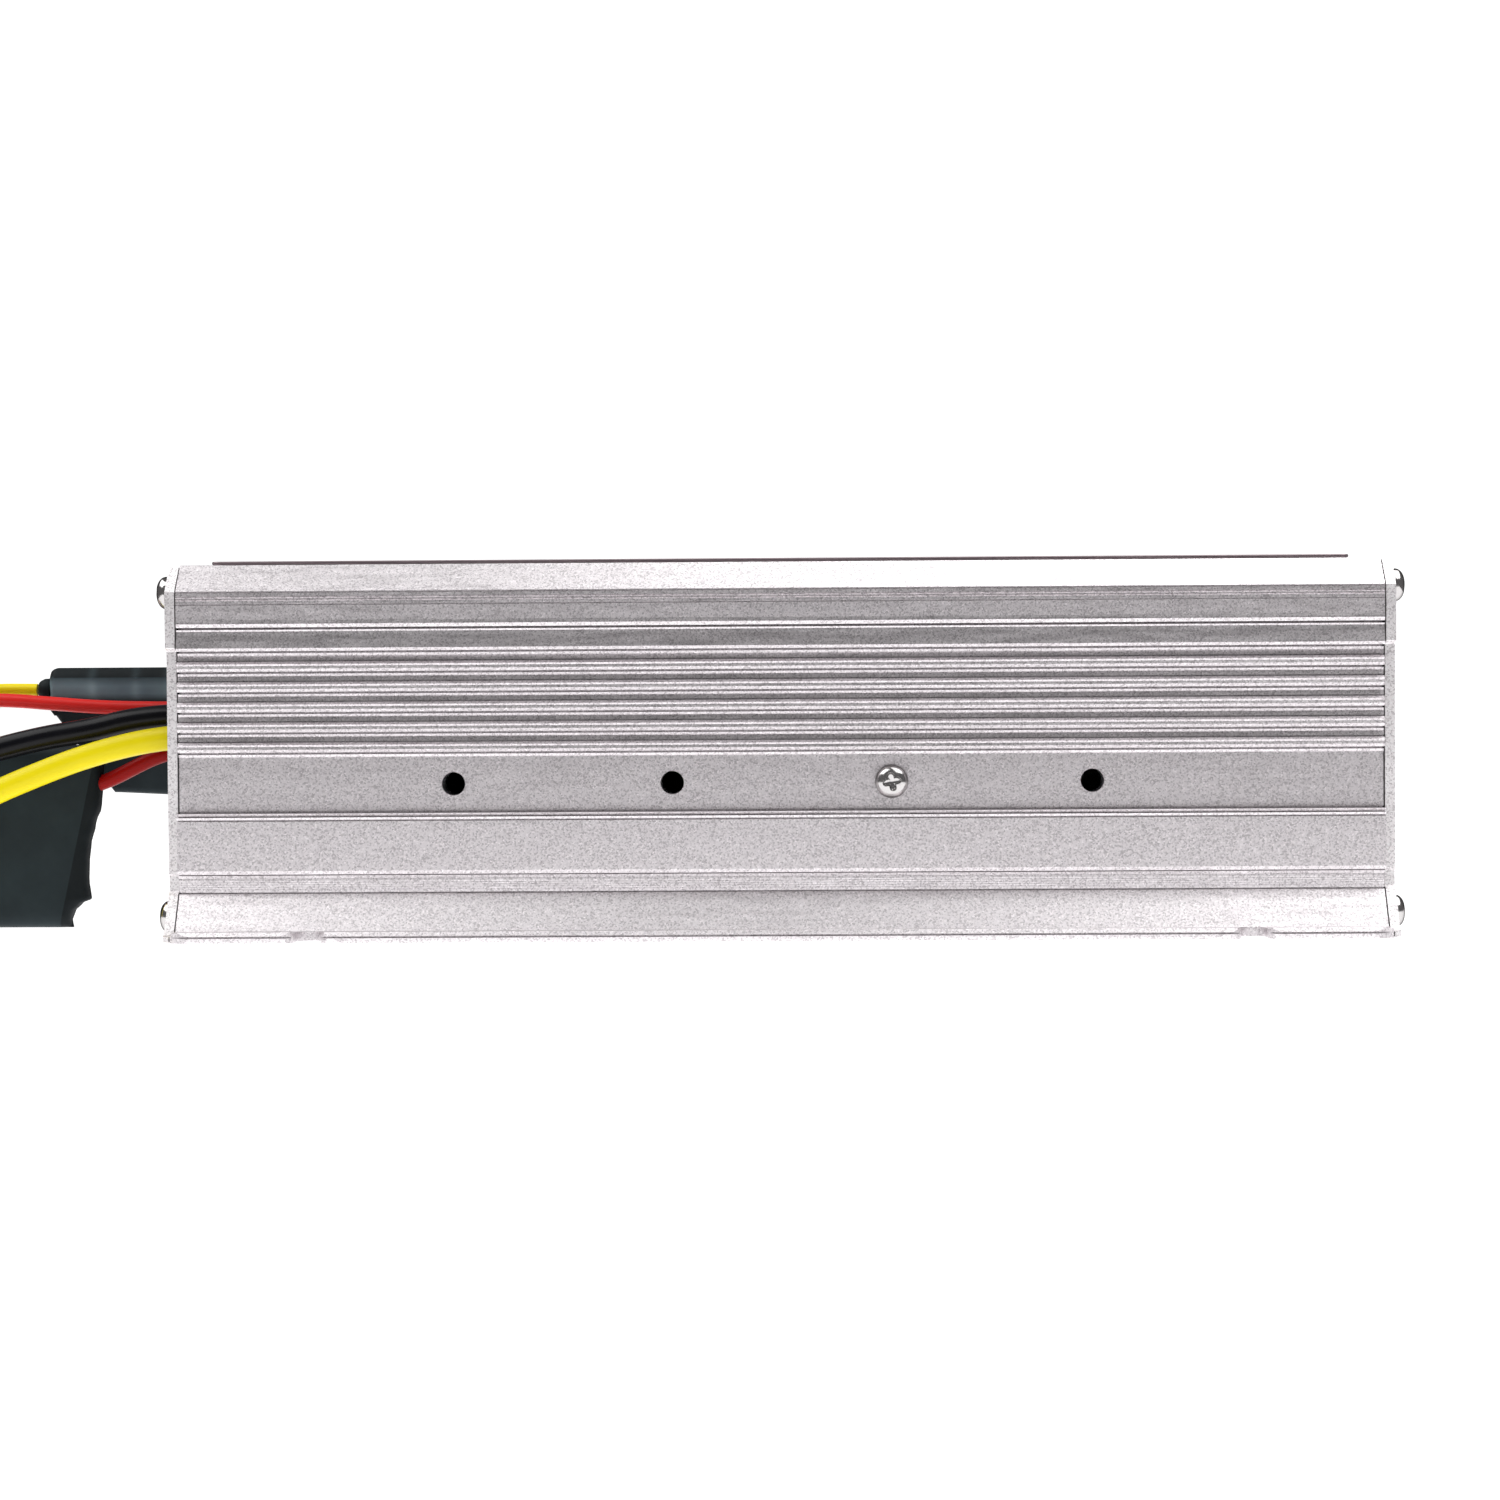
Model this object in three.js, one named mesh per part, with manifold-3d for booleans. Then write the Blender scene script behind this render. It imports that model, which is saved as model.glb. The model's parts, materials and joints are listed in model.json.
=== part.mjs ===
// Power-conversion module (micro inverter class) in a finned, extruded aluminium case.
// Millimetres. X runs along the case (the leads leave at -X), -Y is the side with the holes
// that is described first, +Z is up. The origin is the bottom centre of the case.

import * as THREE from 'three';
import { mergeVertices } from 'three/addons/utils/BufferGeometryUtils.js';
import Module from 'manifold-3d';

const wasm = await Module();
wasm.setup();

// ---------------------------------------------------------------- driving dimensions

const CASE_LENGTH = 208;
const CASE_HEIGHT = 64.75;
const WALL_Y = 46; // half width at the plain wall with the holes
const INNER_Y = 42.5; // half width of the free space inside
const FLOOR_TOP = 3.2;
const ROOF_UNDERSIDE = 61.4;

const FLANGE_REACH = 11.5; // past the plain wall
const FLANGE_THICKNESS = 1.6;
const FLANGE_LIP_HEIGHT = 1.95; // of the raised edge along the flange
const FLANGE_CORNER_RADIUS = 6;
const SLOT_X = 80.5;
const SLOT_RADIUS = 2.3;
const SLOT_DEPTH = 6.2; // from the flange's edge to the slot's round end
const SLOT_MOUTH_RADIUS = 1.9;

const FIN_COUNT = 5;
const FIN_PITCH = 3.5;
const FIN_HEIGHT = 1.7;
const FIN_REACH = 1.4;
const ROOT_GROOVE_REACH = -0.4; // a thin groove under each fin goes this far into the wall
const FIRST_FIN_Z = 32.2;

const HOLE_RADIUS = 2.05;
const HOLE_Z = 26.6;
const HOLE_XS = [-56.4, -18.5, 19.4, 54];
const SCREWED_HOLE = 2; // index of the hole that holds a screw

const GASKET_THICKNESS = 0.15;
const PLATE_THICKNESS = 1.7;
const PRESSED_GAP = 0.05; // on both faces of a gasket
const SHEET_GAP = 0.1; // between other flat faces that press on each other
const FIT_GAP = 0.3; // round a piece that passes through another

const END_SCREW_Y = 42.2;
const END_SCREW_ZS = [3.5, 60];
const SCREW_CHANNEL_RADIUS = 1.7;
const BOSS_INNER_Y = 38.4;
const BOSS_LOW_TOP = 7.4;
const BOSS_HIGH_BOTTOM = 56.2;

const SCREW_HEAD_RADIUS = 2.8;
const SCREW_HEAD_HEIGHT = 2.2;
const SCREW_SHANK_RADIUS = 1.35;

const NAMEPLATE = { length: 198, width: 83, thickness: 0.6 };

const BOARD = { length: 198, halfWidth: 43, bottom: 12.8, thickness: 1.6 };
const BOARD_TOP = BOARD.bottom + BOARD.thickness;
const RAIL_DEPTH = 1;

const BAR = { length: 176, thickness: 3, bottom: 16.5, top: 37 };
const PAD_THICKNESS = 0.4;

const CABLE_PORT = { yNear: -37.5, yFar: -7.5, bottom: 21.5, top: 48.5, radius: 4 };

const END_X = CASE_LENGTH / 2;
const GASKET_X = END_X + PRESSED_GAP;
const PLATE_X = GASKET_X + GASKET_THICKNESS + PRESSED_GAP;
const OUTER_X = PLATE_X + PLATE_THICKNESS;
const GROMMET_FACE_X = -OUTER_X - 1.2;
const LEAD_START_X = -94.8;

// ---------------------------------------------------------------- materials

const material = (color, roughness, metalness) =>
  new THREE.MeshStandardMaterial({ color, roughness, metalness });

const MATERIALS = {
  blastedAluminium: material(0xb9b3b4, 0.45, 1),
  plateAluminium: material(0xc6c1c2, 0.42, 1),
  brightScrew: material(0xd8d8d8, 0.18, 1),
  nameplate: material(0x6d6266, 0.45, 0.9),
  gasket: material(0x2a2828, 0.85, 0),
  grommet: material(0x1c1d1f, 0.75, 0),
  board: material(0x14603a, 0.5, 0),
  barAluminium: material(0xc2c4c6, 0.4, 1),
  insulator: material(0x54565a, 0.8, 0),
  semiconductor: material(0x17181a, 0.6, 0),
  ferrite: material(0x3a3b3e, 0.7, 0),
  winding: material(0xd9b23a, 0.5, 0),
  copper: material(0xb86b3c, 0.35, 1),
  capacitor: material(0x23272e, 0.4, 0),
  filmBlock: material(0x9c2a20, 0.5, 0),
  fuseGreen: material(0x3f8f4a, 0.3, 0),
  terminal: material(0x2c4a33, 0.55, 0),
  blackLead: material(0x202124, 0.4, 0),
  yellowLead: material(0xf0dc14, 0.35, 0),
  redLead: material(0xd83a30, 0.35, 0),
  darkRedLead: material(0xa81c16, 0.35, 0),
  sleeve: material(0x272c31, 0.55, 0),
  tinned: material(0xb9bcbf, 0.35, 1),
};

// ---------------------------------------------------------------- solids and helpers

const object = new THREE.Group();

function addPiece(name, geometry, look) {
  const mesh = new THREE.Mesh(geometry, look);
  mesh.name = name;
  object.add(mesh);
  return mesh;
}

function toSolid(geometry) {
  const bare = geometry.clone();
  bare.deleteAttribute('normal');
  bare.deleteAttribute('uv');
  const merged = mergeVertices(bare, 1e-4);
  return new wasm.Manifold(new wasm.Mesh({
    numProp: 3,
    vertProperties: new Float32Array(merged.attributes.position.array),
    triVerts: new Uint32Array(merged.index.array),
  }));
}

function toGeometry(solid) {
  const mesh = solid.getMesh();
  const geometry = new THREE.BufferGeometry();
  geometry.setAttribute('position', new THREE.BufferAttribute(mesh.vertProperties, 3));
  geometry.setIndex(new THREE.BufferAttribute(mesh.triVerts, 1));
  return geometry;
}

function cut(base, tools) {
  return toGeometry(tools.reduce((solid, tool) => solid.subtract(toSolid(tool)), toSolid(base)));
}

function join(parts) {
  return toGeometry(parts.slice(1).reduce((solid, part) => solid.add(toSolid(part)), toSolid(parts[0])));
}

function box(x0, x1, y0, y1, z0, z1) {
  const geometry = new THREE.BoxGeometry(x1 - x0, y1 - y0, z1 - z0);
  return geometry.translate((x0 + x1) / 2, (y0 + y1) / 2, (z0 + z1) / 2);
}

// An outline drawn in (Y, Z), pushed along X from x0 to x1.
function extrudeAlongX(shape, x0, x1, curveSegments = 8) {
  const geometry = new THREE.ExtrudeGeometry(shape, { depth: x1 - x0, bevelEnabled: false, curveSegments });
  const axes = new THREE.Matrix4().makeBasis(
    new THREE.Vector3(0, 1, 0),
    new THREE.Vector3(0, 0, 1),
    new THREE.Vector3(1, 0, 0),
  );
  return geometry.applyMatrix4(axes).translate(x0, 0, 0);
}

// An outline drawn in (X, Z), pushed along Y from y0 to y1.
function extrudeAlongY(shape, y0, y1, curveSegments = 8) {
  const geometry = new THREE.ExtrudeGeometry(shape, { depth: y1 - y0, bevelEnabled: false, curveSegments });
  return geometry.rotateX(Math.PI / 2).translate(0, y1, 0);
}

// An outline drawn in (X, Y), pushed up from z0 to z1.
function extrudeUp(shape, z0, z1, curveSegments = 8) {
  const geometry = new THREE.ExtrudeGeometry(shape, { depth: z1 - z0, bevelEnabled: false, curveSegments });
  return geometry.translate(0, 0, z0);
}

// A cylinder along X, Y or Z, from low to high on that axis. (a, b) is its centre on the other two.
function rod(axis, radius, low, high, a, b, sides = 16) {
  const geometry = new THREE.CylinderGeometry(radius, radius, high - low, sides);
  const middle = (low + high) / 2;
  if (axis === 'x') return geometry.rotateZ(Math.PI / 2).translate(middle, a, b);
  if (axis === 'y') return geometry.translate(a, middle, b);
  return geometry.rotateX(Math.PI / 2).translate(a, b, middle);
}

function polygon(points) {
  return new THREE.Shape(points.map(([x, y]) => new THREE.Vector2(x, y)));
}

function roundedRectangle(x0, x1, y0, y1, r) {
  const shape = new THREE.Shape();
  shape.moveTo(x0 + r, y0);
  shape.lineTo(x1 - r, y0);
  shape.absarc(x1 - r, y0 + r, r, -Math.PI / 2, 0);
  shape.lineTo(x1, y1 - r);
  shape.absarc(x1 - r, y1 - r, r, 0, Math.PI / 2);
  shape.lineTo(x0 + r, y1);
  shape.absarc(x0 + r, y1 - r, r, Math.PI / 2, Math.PI);
  shape.lineTo(x0, y0 + r);
  shape.absarc(x0 + r, y0 + r, r, Math.PI, Math.PI * 1.5);
  return shape;
}

// ---------------------------------------------------------------- case extrusion

// One side of the outer outline, as [reach past the plain wall, height], from the flange up.
function sideOutline() {
  const points = [
    [FLANGE_REACH, 0],
    [FLANGE_REACH, 0.88],
    [FLANGE_REACH - 1.1, 0.88],
    [FLANGE_REACH - 1.1, 1.18],
    [FLANGE_REACH, 1.2],
    [FLANGE_REACH - 0.55, FLANGE_LIP_HEIGHT],
    [FLANGE_REACH - 1, FLANGE_THICKNESS],
    [5.3, FLANGE_THICKNESS],
    [5.1, 1.45],
    [4.9, 1.66],
    [0.78, 7.7],
    [0.2, 7.75],
    [0.2, 8],
    [0.9, 8.05],
    [0.9, 10.75],
    [0.65, 10.95],
    [0, 10.97],
    [0, 11.2],
    [2.3, 11.2],
    [2.6, 11.75],
    [2.6, 20.45],
    [2.1, 20.47],
    [2.1, 20.68],
    [2.6, 20.7],
    [2.3, 21],
    [1.6, 21.02],
    [1.6, 21.22],
    [2.15, 21.25],
    [1.8, 21.6],
    [-0.3, 21.7],
    [-0.3, 21.93],
    [0, 21.95],
  ];
  for (let fin = 0; fin < FIN_COUNT; fin += 1) {
    const bottom = FIRST_FIN_Z + fin * FIN_PITCH;
    points.push(
      [0.1, bottom - 0.65],
      [0.3, bottom - 0.3],
      [ROOT_GROOVE_REACH, bottom - 0.28],
      [ROOT_GROOVE_REACH, bottom - 0.02],
      [FIN_REACH - 0.32, bottom],
      [FIN_REACH, bottom + 0.52],
      [FIN_REACH, bottom + 1.1],
      [FIN_REACH - 0.55, bottom + FIN_HEIGHT],
      [0.38, bottom + FIN_HEIGHT + 0.05],
    );
  }
  points.push(
    [0.1, 49.1],
    [0.3, 49.45],
    [ROOT_GROOVE_REACH, 49.47],
    [ROOT_GROOVE_REACH, 49.73],
    [1.55, 49.75],
    [1.88, 50.3],
    [1.7, 51],
    [1.35, 52.3],
    [1.3, 53.1],
    [1.05, 53.35],
    [0.1, 53.37],
    [0.1, 53.6],
    [1.5, 53.6],
    [1.95, 54.35],
    [1.95, 54.6],
    [1.8, 55.1],
    [1.8, 57.65],
    [1.5, 57.67],
    [1.5, 57.88],
    [1.8, 57.9],
    [1.8, 60.1],
    [-2.8, CASE_HEIGHT],
  );
  return points;
}

function outerOutline() {
  const side = sideOutline();
  const front = side.map(([reach, z]) => [-WALL_Y - reach, z]).reverse();
  const back = side.map(([reach, z]) => [WALL_Y + reach, z]);
  return polygon([...front, ...back]);
}

// The free space inside: board rails in the side walls and a screw boss in each corner.
function innerOutline() {
  const railBottom = BOARD.bottom - FIT_GAP;
  const railTop = BOARD_TOP + FIT_GAP;
  const half = [
    [BOSS_INNER_Y, FLOOR_TOP],
    [BOSS_INNER_Y, BOSS_LOW_TOP],
    [INNER_Y, BOSS_LOW_TOP],
    [INNER_Y, railBottom],
    [INNER_Y + RAIL_DEPTH, railBottom],
    [INNER_Y + RAIL_DEPTH, railTop],
    [INNER_Y, railTop],
    [INNER_Y, BOSS_HIGH_BOTTOM],
    [BOSS_INNER_Y, BOSS_HIGH_BOTTOM],
    [BOSS_INNER_Y, ROOF_UNDERSIDE],
  ];
  const left = half.map(([y, z]) => new THREE.Vector2(-y, z)).reverse();
  const right = half.map(([y, z]) => new THREE.Vector2(y, z));
  return new THREE.Path([...left, ...right]);
}

// What is cut from the flange for one slot: a round end, straight sides and a rounded mouth.
function slotCutter(x, side) {
  const mouth = FLANGE_REACH + WALL_Y;
  const roundEnd = mouth - SLOT_DEPTH + SLOT_RADIUS;
  const shape = new THREE.Shape();
  shape.moveTo(-SLOT_RADIUS, roundEnd);
  shape.absarc(0, roundEnd, SLOT_RADIUS, Math.PI, 2 * Math.PI);
  shape.lineTo(SLOT_RADIUS, mouth - SLOT_MOUTH_RADIUS);
  shape.absarc(SLOT_RADIUS + SLOT_MOUTH_RADIUS, mouth - SLOT_MOUTH_RADIUS, SLOT_MOUTH_RADIUS, Math.PI, Math.PI / 2, true);
  shape.lineTo(SLOT_RADIUS + SLOT_MOUTH_RADIUS, mouth + 1);
  shape.lineTo(-SLOT_RADIUS - SLOT_MOUTH_RADIUS, mouth + 1);
  shape.lineTo(-SLOT_RADIUS - SLOT_MOUTH_RADIUS, mouth);
  shape.absarc(-SLOT_RADIUS - SLOT_MOUTH_RADIUS, mouth - SLOT_MOUTH_RADIUS, SLOT_MOUTH_RADIUS, Math.PI / 2, 0, true);
  const cutter = extrudeUp(shape, -1, 3, 6);
  return (side > 0 ? cutter : cutter.rotateZ(Math.PI)).translate(x, 0, 0);
}

// What is cut from the flange and from the foot of an end plate to round one corner in plan.
function cornerCutter(endSign, side) {
  const r = FLANGE_CORNER_RADIUS;
  const edge = FLANGE_REACH + WALL_Y;
  const shape = new THREE.Shape();
  shape.moveTo(OUTER_X - r, edge);
  shape.absarc(OUTER_X - r, edge - r, r, Math.PI / 2, 0, true);
  shape.lineTo(OUTER_X + 1, edge - r);
  shape.lineTo(OUTER_X + 1, edge + 1);
  shape.lineTo(OUTER_X - r, edge + 1);
  const cutter = extrudeUp(shape, -1, 3, 6);
  if (endSign * side < 0) cutter.scale(-1, 1, 1);
  if (endSign * side < 0) flipFaces(cutter);
  return side > 0 ? cutter : cutter.rotateZ(Math.PI);
}

// Turns every face over, as a mirrored shape needs.
function flipFaces(geometry) {
  const position = geometry.attributes.position;
  const corner = new THREE.Vector3();
  const other = new THREE.Vector3();
  for (let i = 0; i < position.count; i += 3) {
    corner.fromBufferAttribute(position, i);
    other.fromBufferAttribute(position, i + 2);
    position.setXYZ(i, other.x, other.y, other.z);
    position.setXYZ(i + 2, corner.x, corner.y, corner.z);
  }
}

function housing() {
  const outline = outerOutline();
  outline.holes.push(innerOutline());
  const body = extrudeAlongX(outline, -END_X, END_X);
  const cutters = [];
  for (const side of [-1, 1]) {
    for (const x of [-SLOT_X, SLOT_X]) cutters.push(slotCutter(x, side));
    for (const endSign of [-1, 1]) cutters.push(cornerCutter(endSign, side));
    for (const z of END_SCREW_ZS) {
      cutters.push(rod('x', SCREW_CHANNEL_RADIUS, -END_X - 1, END_X + 1, side * END_SCREW_Y, z, 12));
    }
    for (const x of HOLE_XS) {
      const low = side < 0 ? -WALL_Y - 1 : INNER_Y - 1;
      cutters.push(rod('y', HOLE_RADIUS, low, low + WALL_Y - INNER_Y + 2, x, HOLE_Z, 20));
    }
  }
  return cut(body, cutters);
}

// ---------------------------------------------------------------- ends

// The sheet outline that covers the end of the extrusion; inset pulls its edge in all round.
function endOutline(inset) {
  const side = [
    [9.6, 0.05],
    [9.6, 1],
    [5.5, 1],
    [5, 1.4],
    [0.7, 7.6],
    [0.1, 8],
    [-0.3, 8.3],
    [-0.3, 10.9],
    [0.2, 11.2],
    [0.2, 49.9],
    [1.6, 50.3],
    [1.6, 60],
    [-2.8, CASE_HEIGHT - 0.35],
  ];
  const rise = (z) => (z < 0.5 ? z + inset : Math.min(z, CASE_HEIGHT - 0.35 - inset));
  const front = side.map(([reach, z]) => [-WALL_Y - reach + inset, rise(z)]).reverse();
  const back = side.map(([reach, z]) => [WALL_Y + reach - inset, rise(z)]);
  return polygon([...front, ...back]);
}

function cablePort(grow) {
  return roundedRectangle(
    CABLE_PORT.yNear - grow,
    CABLE_PORT.yFar + grow,
    CABLE_PORT.bottom - grow,
    CABLE_PORT.top + grow,
    CABLE_PORT.radius + grow,
  );
}

function endPlate(endSign) {
  const x0 = endSign > 0 ? PLATE_X : -OUTER_X;
  const sheet = extrudeAlongX(endOutline(0), x0, x0 + PLATE_THICKNESS);
  const cutters = endScrewPlaces().map(([y, z]) => rod('x', SCREW_SHANK_RADIUS + FIT_GAP, x0 - 1, x0 + 3, y, z, 12));
  for (const side of [-1, 1]) cutters.push(cornerCutter(endSign, side));
  if (endSign < 0) cutters.push(extrudeAlongX(cablePort(0), x0 - 1, x0 + 3));
  return cut(sheet, cutters);
}

// A thin frame that follows the rim of the extrusion, with a hole for each end screw.
function gasket(endSign) {
  const x0 = endSign > 0 ? GASKET_X : -GASKET_X - GASKET_THICKNESS;
  const x1 = x0 + GASKET_THICKNESS;
  const outline = endOutline(0.15);
  outline.holes.push(innerOutline());
  const sheet = extrudeAlongX(outline, x0, x1);
  return cut(sheet, endScrewPlaces().map(([y, z]) => rod('x', SCREW_CHANNEL_RADIUS, x0 - 1, x1 + 1, y, z, 12)));
}

function endScrewPlaces() {
  return [-END_SCREW_Y, END_SCREW_Y].flatMap((y) => END_SCREW_ZS.map((z) => [y, z]));
}

// ---------------------------------------------------------------- screws

// Pan-head machine screw along +Z: the head stands on z = 0, the shank hangs below it.
function panScrew(shankLength) {
  const headRadius = SCREW_HEAD_RADIUS;
  const top = SCREW_HEAD_HEIGHT;
  const profile = [
    [0, -shankLength],
    [SCREW_SHANK_RADIUS, -shankLength],
    [SCREW_SHANK_RADIUS, 0],
    [headRadius, 0],
    [headRadius, top * 0.45],
    [headRadius * 0.86, top * 0.8],
    [headRadius * 0.5, top],
    [0, top],
  ].map(([r, z]) => new THREE.Vector2(r, z));
  const lathe = new THREE.LatheGeometry(profile, 16).rotateX(Math.PI / 2);
  const arm = 1.55;
  const half = 0.32;
  const floor = top - 1.1;
  const cross = [box(-arm, arm, -half, half, floor, top + 1), box(-half, half, -arm, arm, floor, top + 1)];
  return cut(lathe, cross);
}

function addEndScrews() {
  const heights = { 0: 'lower', 1: 'upper' };
  for (const endSign of [-1, 1]) {
    for (const side of [-1, 1]) {
      END_SCREW_ZS.forEach((z, level) => {
        const screw = panScrew(9);
        screw.rotateY((endSign * Math.PI) / 2);
        screw.translate(endSign * (OUTER_X + SHEET_GAP), side * END_SCREW_Y, z);
        const end = endSign < 0 ? 'left' : 'right';
        const face = side < 0 ? 'front' : 'back';
        addPiece(`end_screw_${end}_${face}_${heights[level]}`, screw, MATERIALS.brightScrew);
      });
    }
  }
}

function clampScrew(side) {
  const screw = panScrew(6.6);
  screw.rotateX((side < 0 ? 1 : -1) * (Math.PI / 2));
  return screw.translate(HOLE_XS[SCREWED_HOLE], side * (WALL_Y + SHEET_GAP), HOLE_Z);
}

// ---------------------------------------------------------------- nameplate

function nameplate() {
  const { length, width, thickness } = NAMEPLATE;
  const outline = roundedRectangle(-length / 2, length / 2, -width / 2, width / 2, 1.5);
  return extrudeUp(outline, CASE_HEIGHT + SHEET_GAP, CASE_HEIGHT + SHEET_GAP + thickness, 3);
}

// ---------------------------------------------------------------- power stage inside

function mainBoard() {
  return box(-BOARD.length / 2, BOARD.length / 2, -BOARD.halfWidth, BOARD.halfWidth, BOARD.bottom, BOARD_TOP);
}

// A spreader bar behind the row of wall holes. It is tapped where the clamp screw goes in.
function heatBar(side) {
  const outer = INNER_Y - 2 * SHEET_GAP - PAD_THICKNESS;
  const inner = outer - BAR.thickness;
  const [y0, y1] = side < 0 ? [-outer, -inner] : [inner, outer];
  const bar = box(-BAR.length / 2, BAR.length / 2, y0, y1, BAR.bottom, BAR.top);
  return cut(bar, HOLE_XS.map((x, i) => {
    const radius = i === SCREWED_HOLE ? SCREW_SHANK_RADIUS + FIT_GAP : HOLE_RADIUS;
    return rod('y', radius, y0 - 1, y1 + 1, x, HOLE_Z, 12);
  }));
}

// The soft heat-conducting sheet between a spreader bar and the wall.
function heatPad(side) {
  const outer = INNER_Y - SHEET_GAP;
  const [y0, y1] = side < 0 ? [-outer, -outer + PAD_THICKNESS] : [outer - PAD_THICKNESS, outer];
  const sheet = box(-BAR.length / 2, BAR.length / 2, y0, y1, BAR.bottom, BAR.top);
  return cut(sheet, HOLE_XS.map((x) => rod('y', HOLE_RADIUS, y0 - 1, y1 + 1, x, HOLE_Z, 12)));
}

// A three-legged power transistor that stands on the board with its tab against the bar.
function transistor(x, side) {
  const back = INNER_Y - 2 * SHEET_GAP - PAD_THICKNESS - BAR.thickness - SHEET_GAP;
  const toBar = (near, far) => (side < 0 ? [-back + near, -back + far] : [back - far, back - near]);
  const [tab0, tab1] = toBar(0, 1.3);
  const [body0, body1] = toBar(0, 4.5);
  const [leg0, leg1] = toBar(2.2, 2.8);
  const legs = [-2.54, 0, 2.54].map((dx) =>
    box(x + dx - 0.4, x + dx + 0.4, leg0, leg1, BOARD_TOP + SHEET_GAP, 20));
  return join([
    box(x - 5, x + 5, body0, body1, 19, 28),
    box(x - 5, x + 5, tab0, tab1, 27.5, 34.5),
    ...legs,
  ]);
}

function addTransistors() {
  const frontXs = [-76, -44, -31, -6.5, 6.5, 36.5];
  const backXs = [-76, -37.5, 0, 36.5];
  frontXs.forEach((x, i) => addPiece(`switch_transistor_${i + 1}`, transistor(x, -1), MATERIALS.semiconductor));
  backXs.forEach((x, i) => addPiece(`rectifier_${i + 1}`, transistor(x, 1), MATERIALS.semiconductor));
}

// One half of an E-core pair. Its legs point towards +Z or -Z and meet the other half's.
function coreHalf(centreX, baseZ, legSign) {
  const width = 42;
  const yoke = 5.5;
  const legHeight = 10.5;
  const outer = width / 2;
  const outline = polygon([
    [-outer, 0],
    [outer, 0],
    [outer, yoke + legHeight],
    [outer - 6, yoke + legHeight],
    [outer - 6, yoke],
    [6, yoke],
    [6, yoke + legHeight],
    [-6, yoke + legHeight],
    [-6, yoke],
    [-outer + 6, yoke],
    [-outer + 6, yoke + legHeight],
    [-outer, yoke + legHeight],
  ]);
  const half = extrudeAlongY(outline, -10, 10);
  if (legSign < 0) half.rotateX(Math.PI);
  return half.translate(centreX, 0, baseZ);
}

// The winding package round the middle legs of the core.
function transformerWinding(centreX, bottom, top) {
  const outline = roundedRectangle(-14.4, 14.4, -17.5, 17.5, 4);
  outline.holes.push(new THREE.Path(roundedRectangle(-6.5, 6.5, -10.5, 10.5, 0.5).getPoints(3)));
  return extrudeUp(outline, bottom, top, 5).translate(centreX, 0, 0);
}

function addTransformer() {
  const centreX = 20;
  const low = BOARD_TOP + SHEET_GAP;
  const high = low + 2 * 16 + SHEET_GAP;
  addPiece('transformer_core_lower', coreHalf(centreX, low, 1), MATERIALS.ferrite);
  addPiece('transformer_core_upper', coreHalf(centreX, high, -1), MATERIALS.ferrite);
  addPiece('transformer_winding', transformerWinding(centreX, low + 5.8, high - 5.8), MATERIALS.winding);
}

function addChoke() {
  const ring = new THREE.TorusGeometry(10, 4.6, 10, 24);
  ring.translate(66, -14, BOARD_TOP + 5);
  addPiece('output_choke', ring, MATERIALS.copper);
}

// An upright can capacitor with a rolled groove near its foot.
function canCapacitor(radius, height, x, y) {
  const profile = [
    [0, 0],
    [radius - 0.4, 0],
    [radius, 0.5],
    [radius, 2.2],
    [radius - 0.7, 2.8],
    [radius, 3.4],
    [radius, height - 0.8],
    [radius - 0.8, height],
    [0, height],
  ].map(([r, z]) => new THREE.Vector2(r, z));
  return new THREE.LatheGeometry(profile, 20).rotateX(Math.PI / 2).translate(x, y, BOARD_TOP + SHEET_GAP);
}

function addCapacitors() {
  const places = [
    ['input_capacitor_1', 8, 31, -66, -22],
    ['input_capacitor_2', 8, 31, -48, -22],
    ['input_capacitor_3', 8, 31, -30, -22],
    ['output_capacitor', 9, 36, 72, 20],
  ];
  for (const [name, radius, height, x, y] of places) {
    addPiece(name, canCapacitor(radius, height, x, y), MATERIALS.capacitor);
  }
}

function addSmallPowerParts() {
  const z = BOARD_TOP + SHEET_GAP;
  addPiece('film_capacitor', box(44, 55, 12, 30, z, z + 15), MATERIALS.filmBlock);
  addPiece('board_fuse', join([
    box(-84, -65, 20.5, 24.5, z, z + 13),
    box(-83, -79.5, 21.9, 23.1, z + 12, z + 16),
    box(-69.5, -66, 21.9, 23.1, z + 12, z + 16),
  ]), MATERIALS.fuseGreen);
  const shunt = new THREE.Shape();
  shunt.moveTo(-9, 0);
  shunt.lineTo(-7.4, 0);
  shunt.lineTo(-7.4, 4);
  shunt.absarc(-4.4, 4, 3, Math.PI, Math.PI / 2, true);
  shunt.lineTo(4.4, 7);
  shunt.absarc(4.4, 4, 3, Math.PI / 2, 0, true);
  shunt.lineTo(7.4, 0);
  shunt.lineTo(9, 0);
  shunt.lineTo(9, 4);
  shunt.absarc(4.4, 4, 4.6, 0, Math.PI / 2);
  shunt.lineTo(-4.4, 8.6);
  shunt.absarc(-4.4, 4, 4.6, Math.PI / 2, Math.PI);
  addPiece('current_shunt', extrudeAlongY(shunt, -0.8, 0.8, 4).translate(-50, 0, z), MATERIALS.copper);
}

// The upright control board, its plug-in header and its controller chip.
function addControlBoard() {
  const x0 = -58;
  const x1 = -12;
  const y = 26;
  const z = BOARD_TOP + SHEET_GAP;
  addPiece('control_header', box(x0 + 3, x1 - 3, y - 2.5, y + 2.5, z, z + 5), MATERIALS.semiconductor);
  addPiece('control_board', box(x0, x1, y - 0.8, y + 0.8, z + 5.1, z + 34), MATERIALS.board);
  addPiece('control_chip', box(-40, -30, y - 2.5, y - 0.9, z + 14, z + 24), MATERIALS.semiconductor);
}

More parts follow.
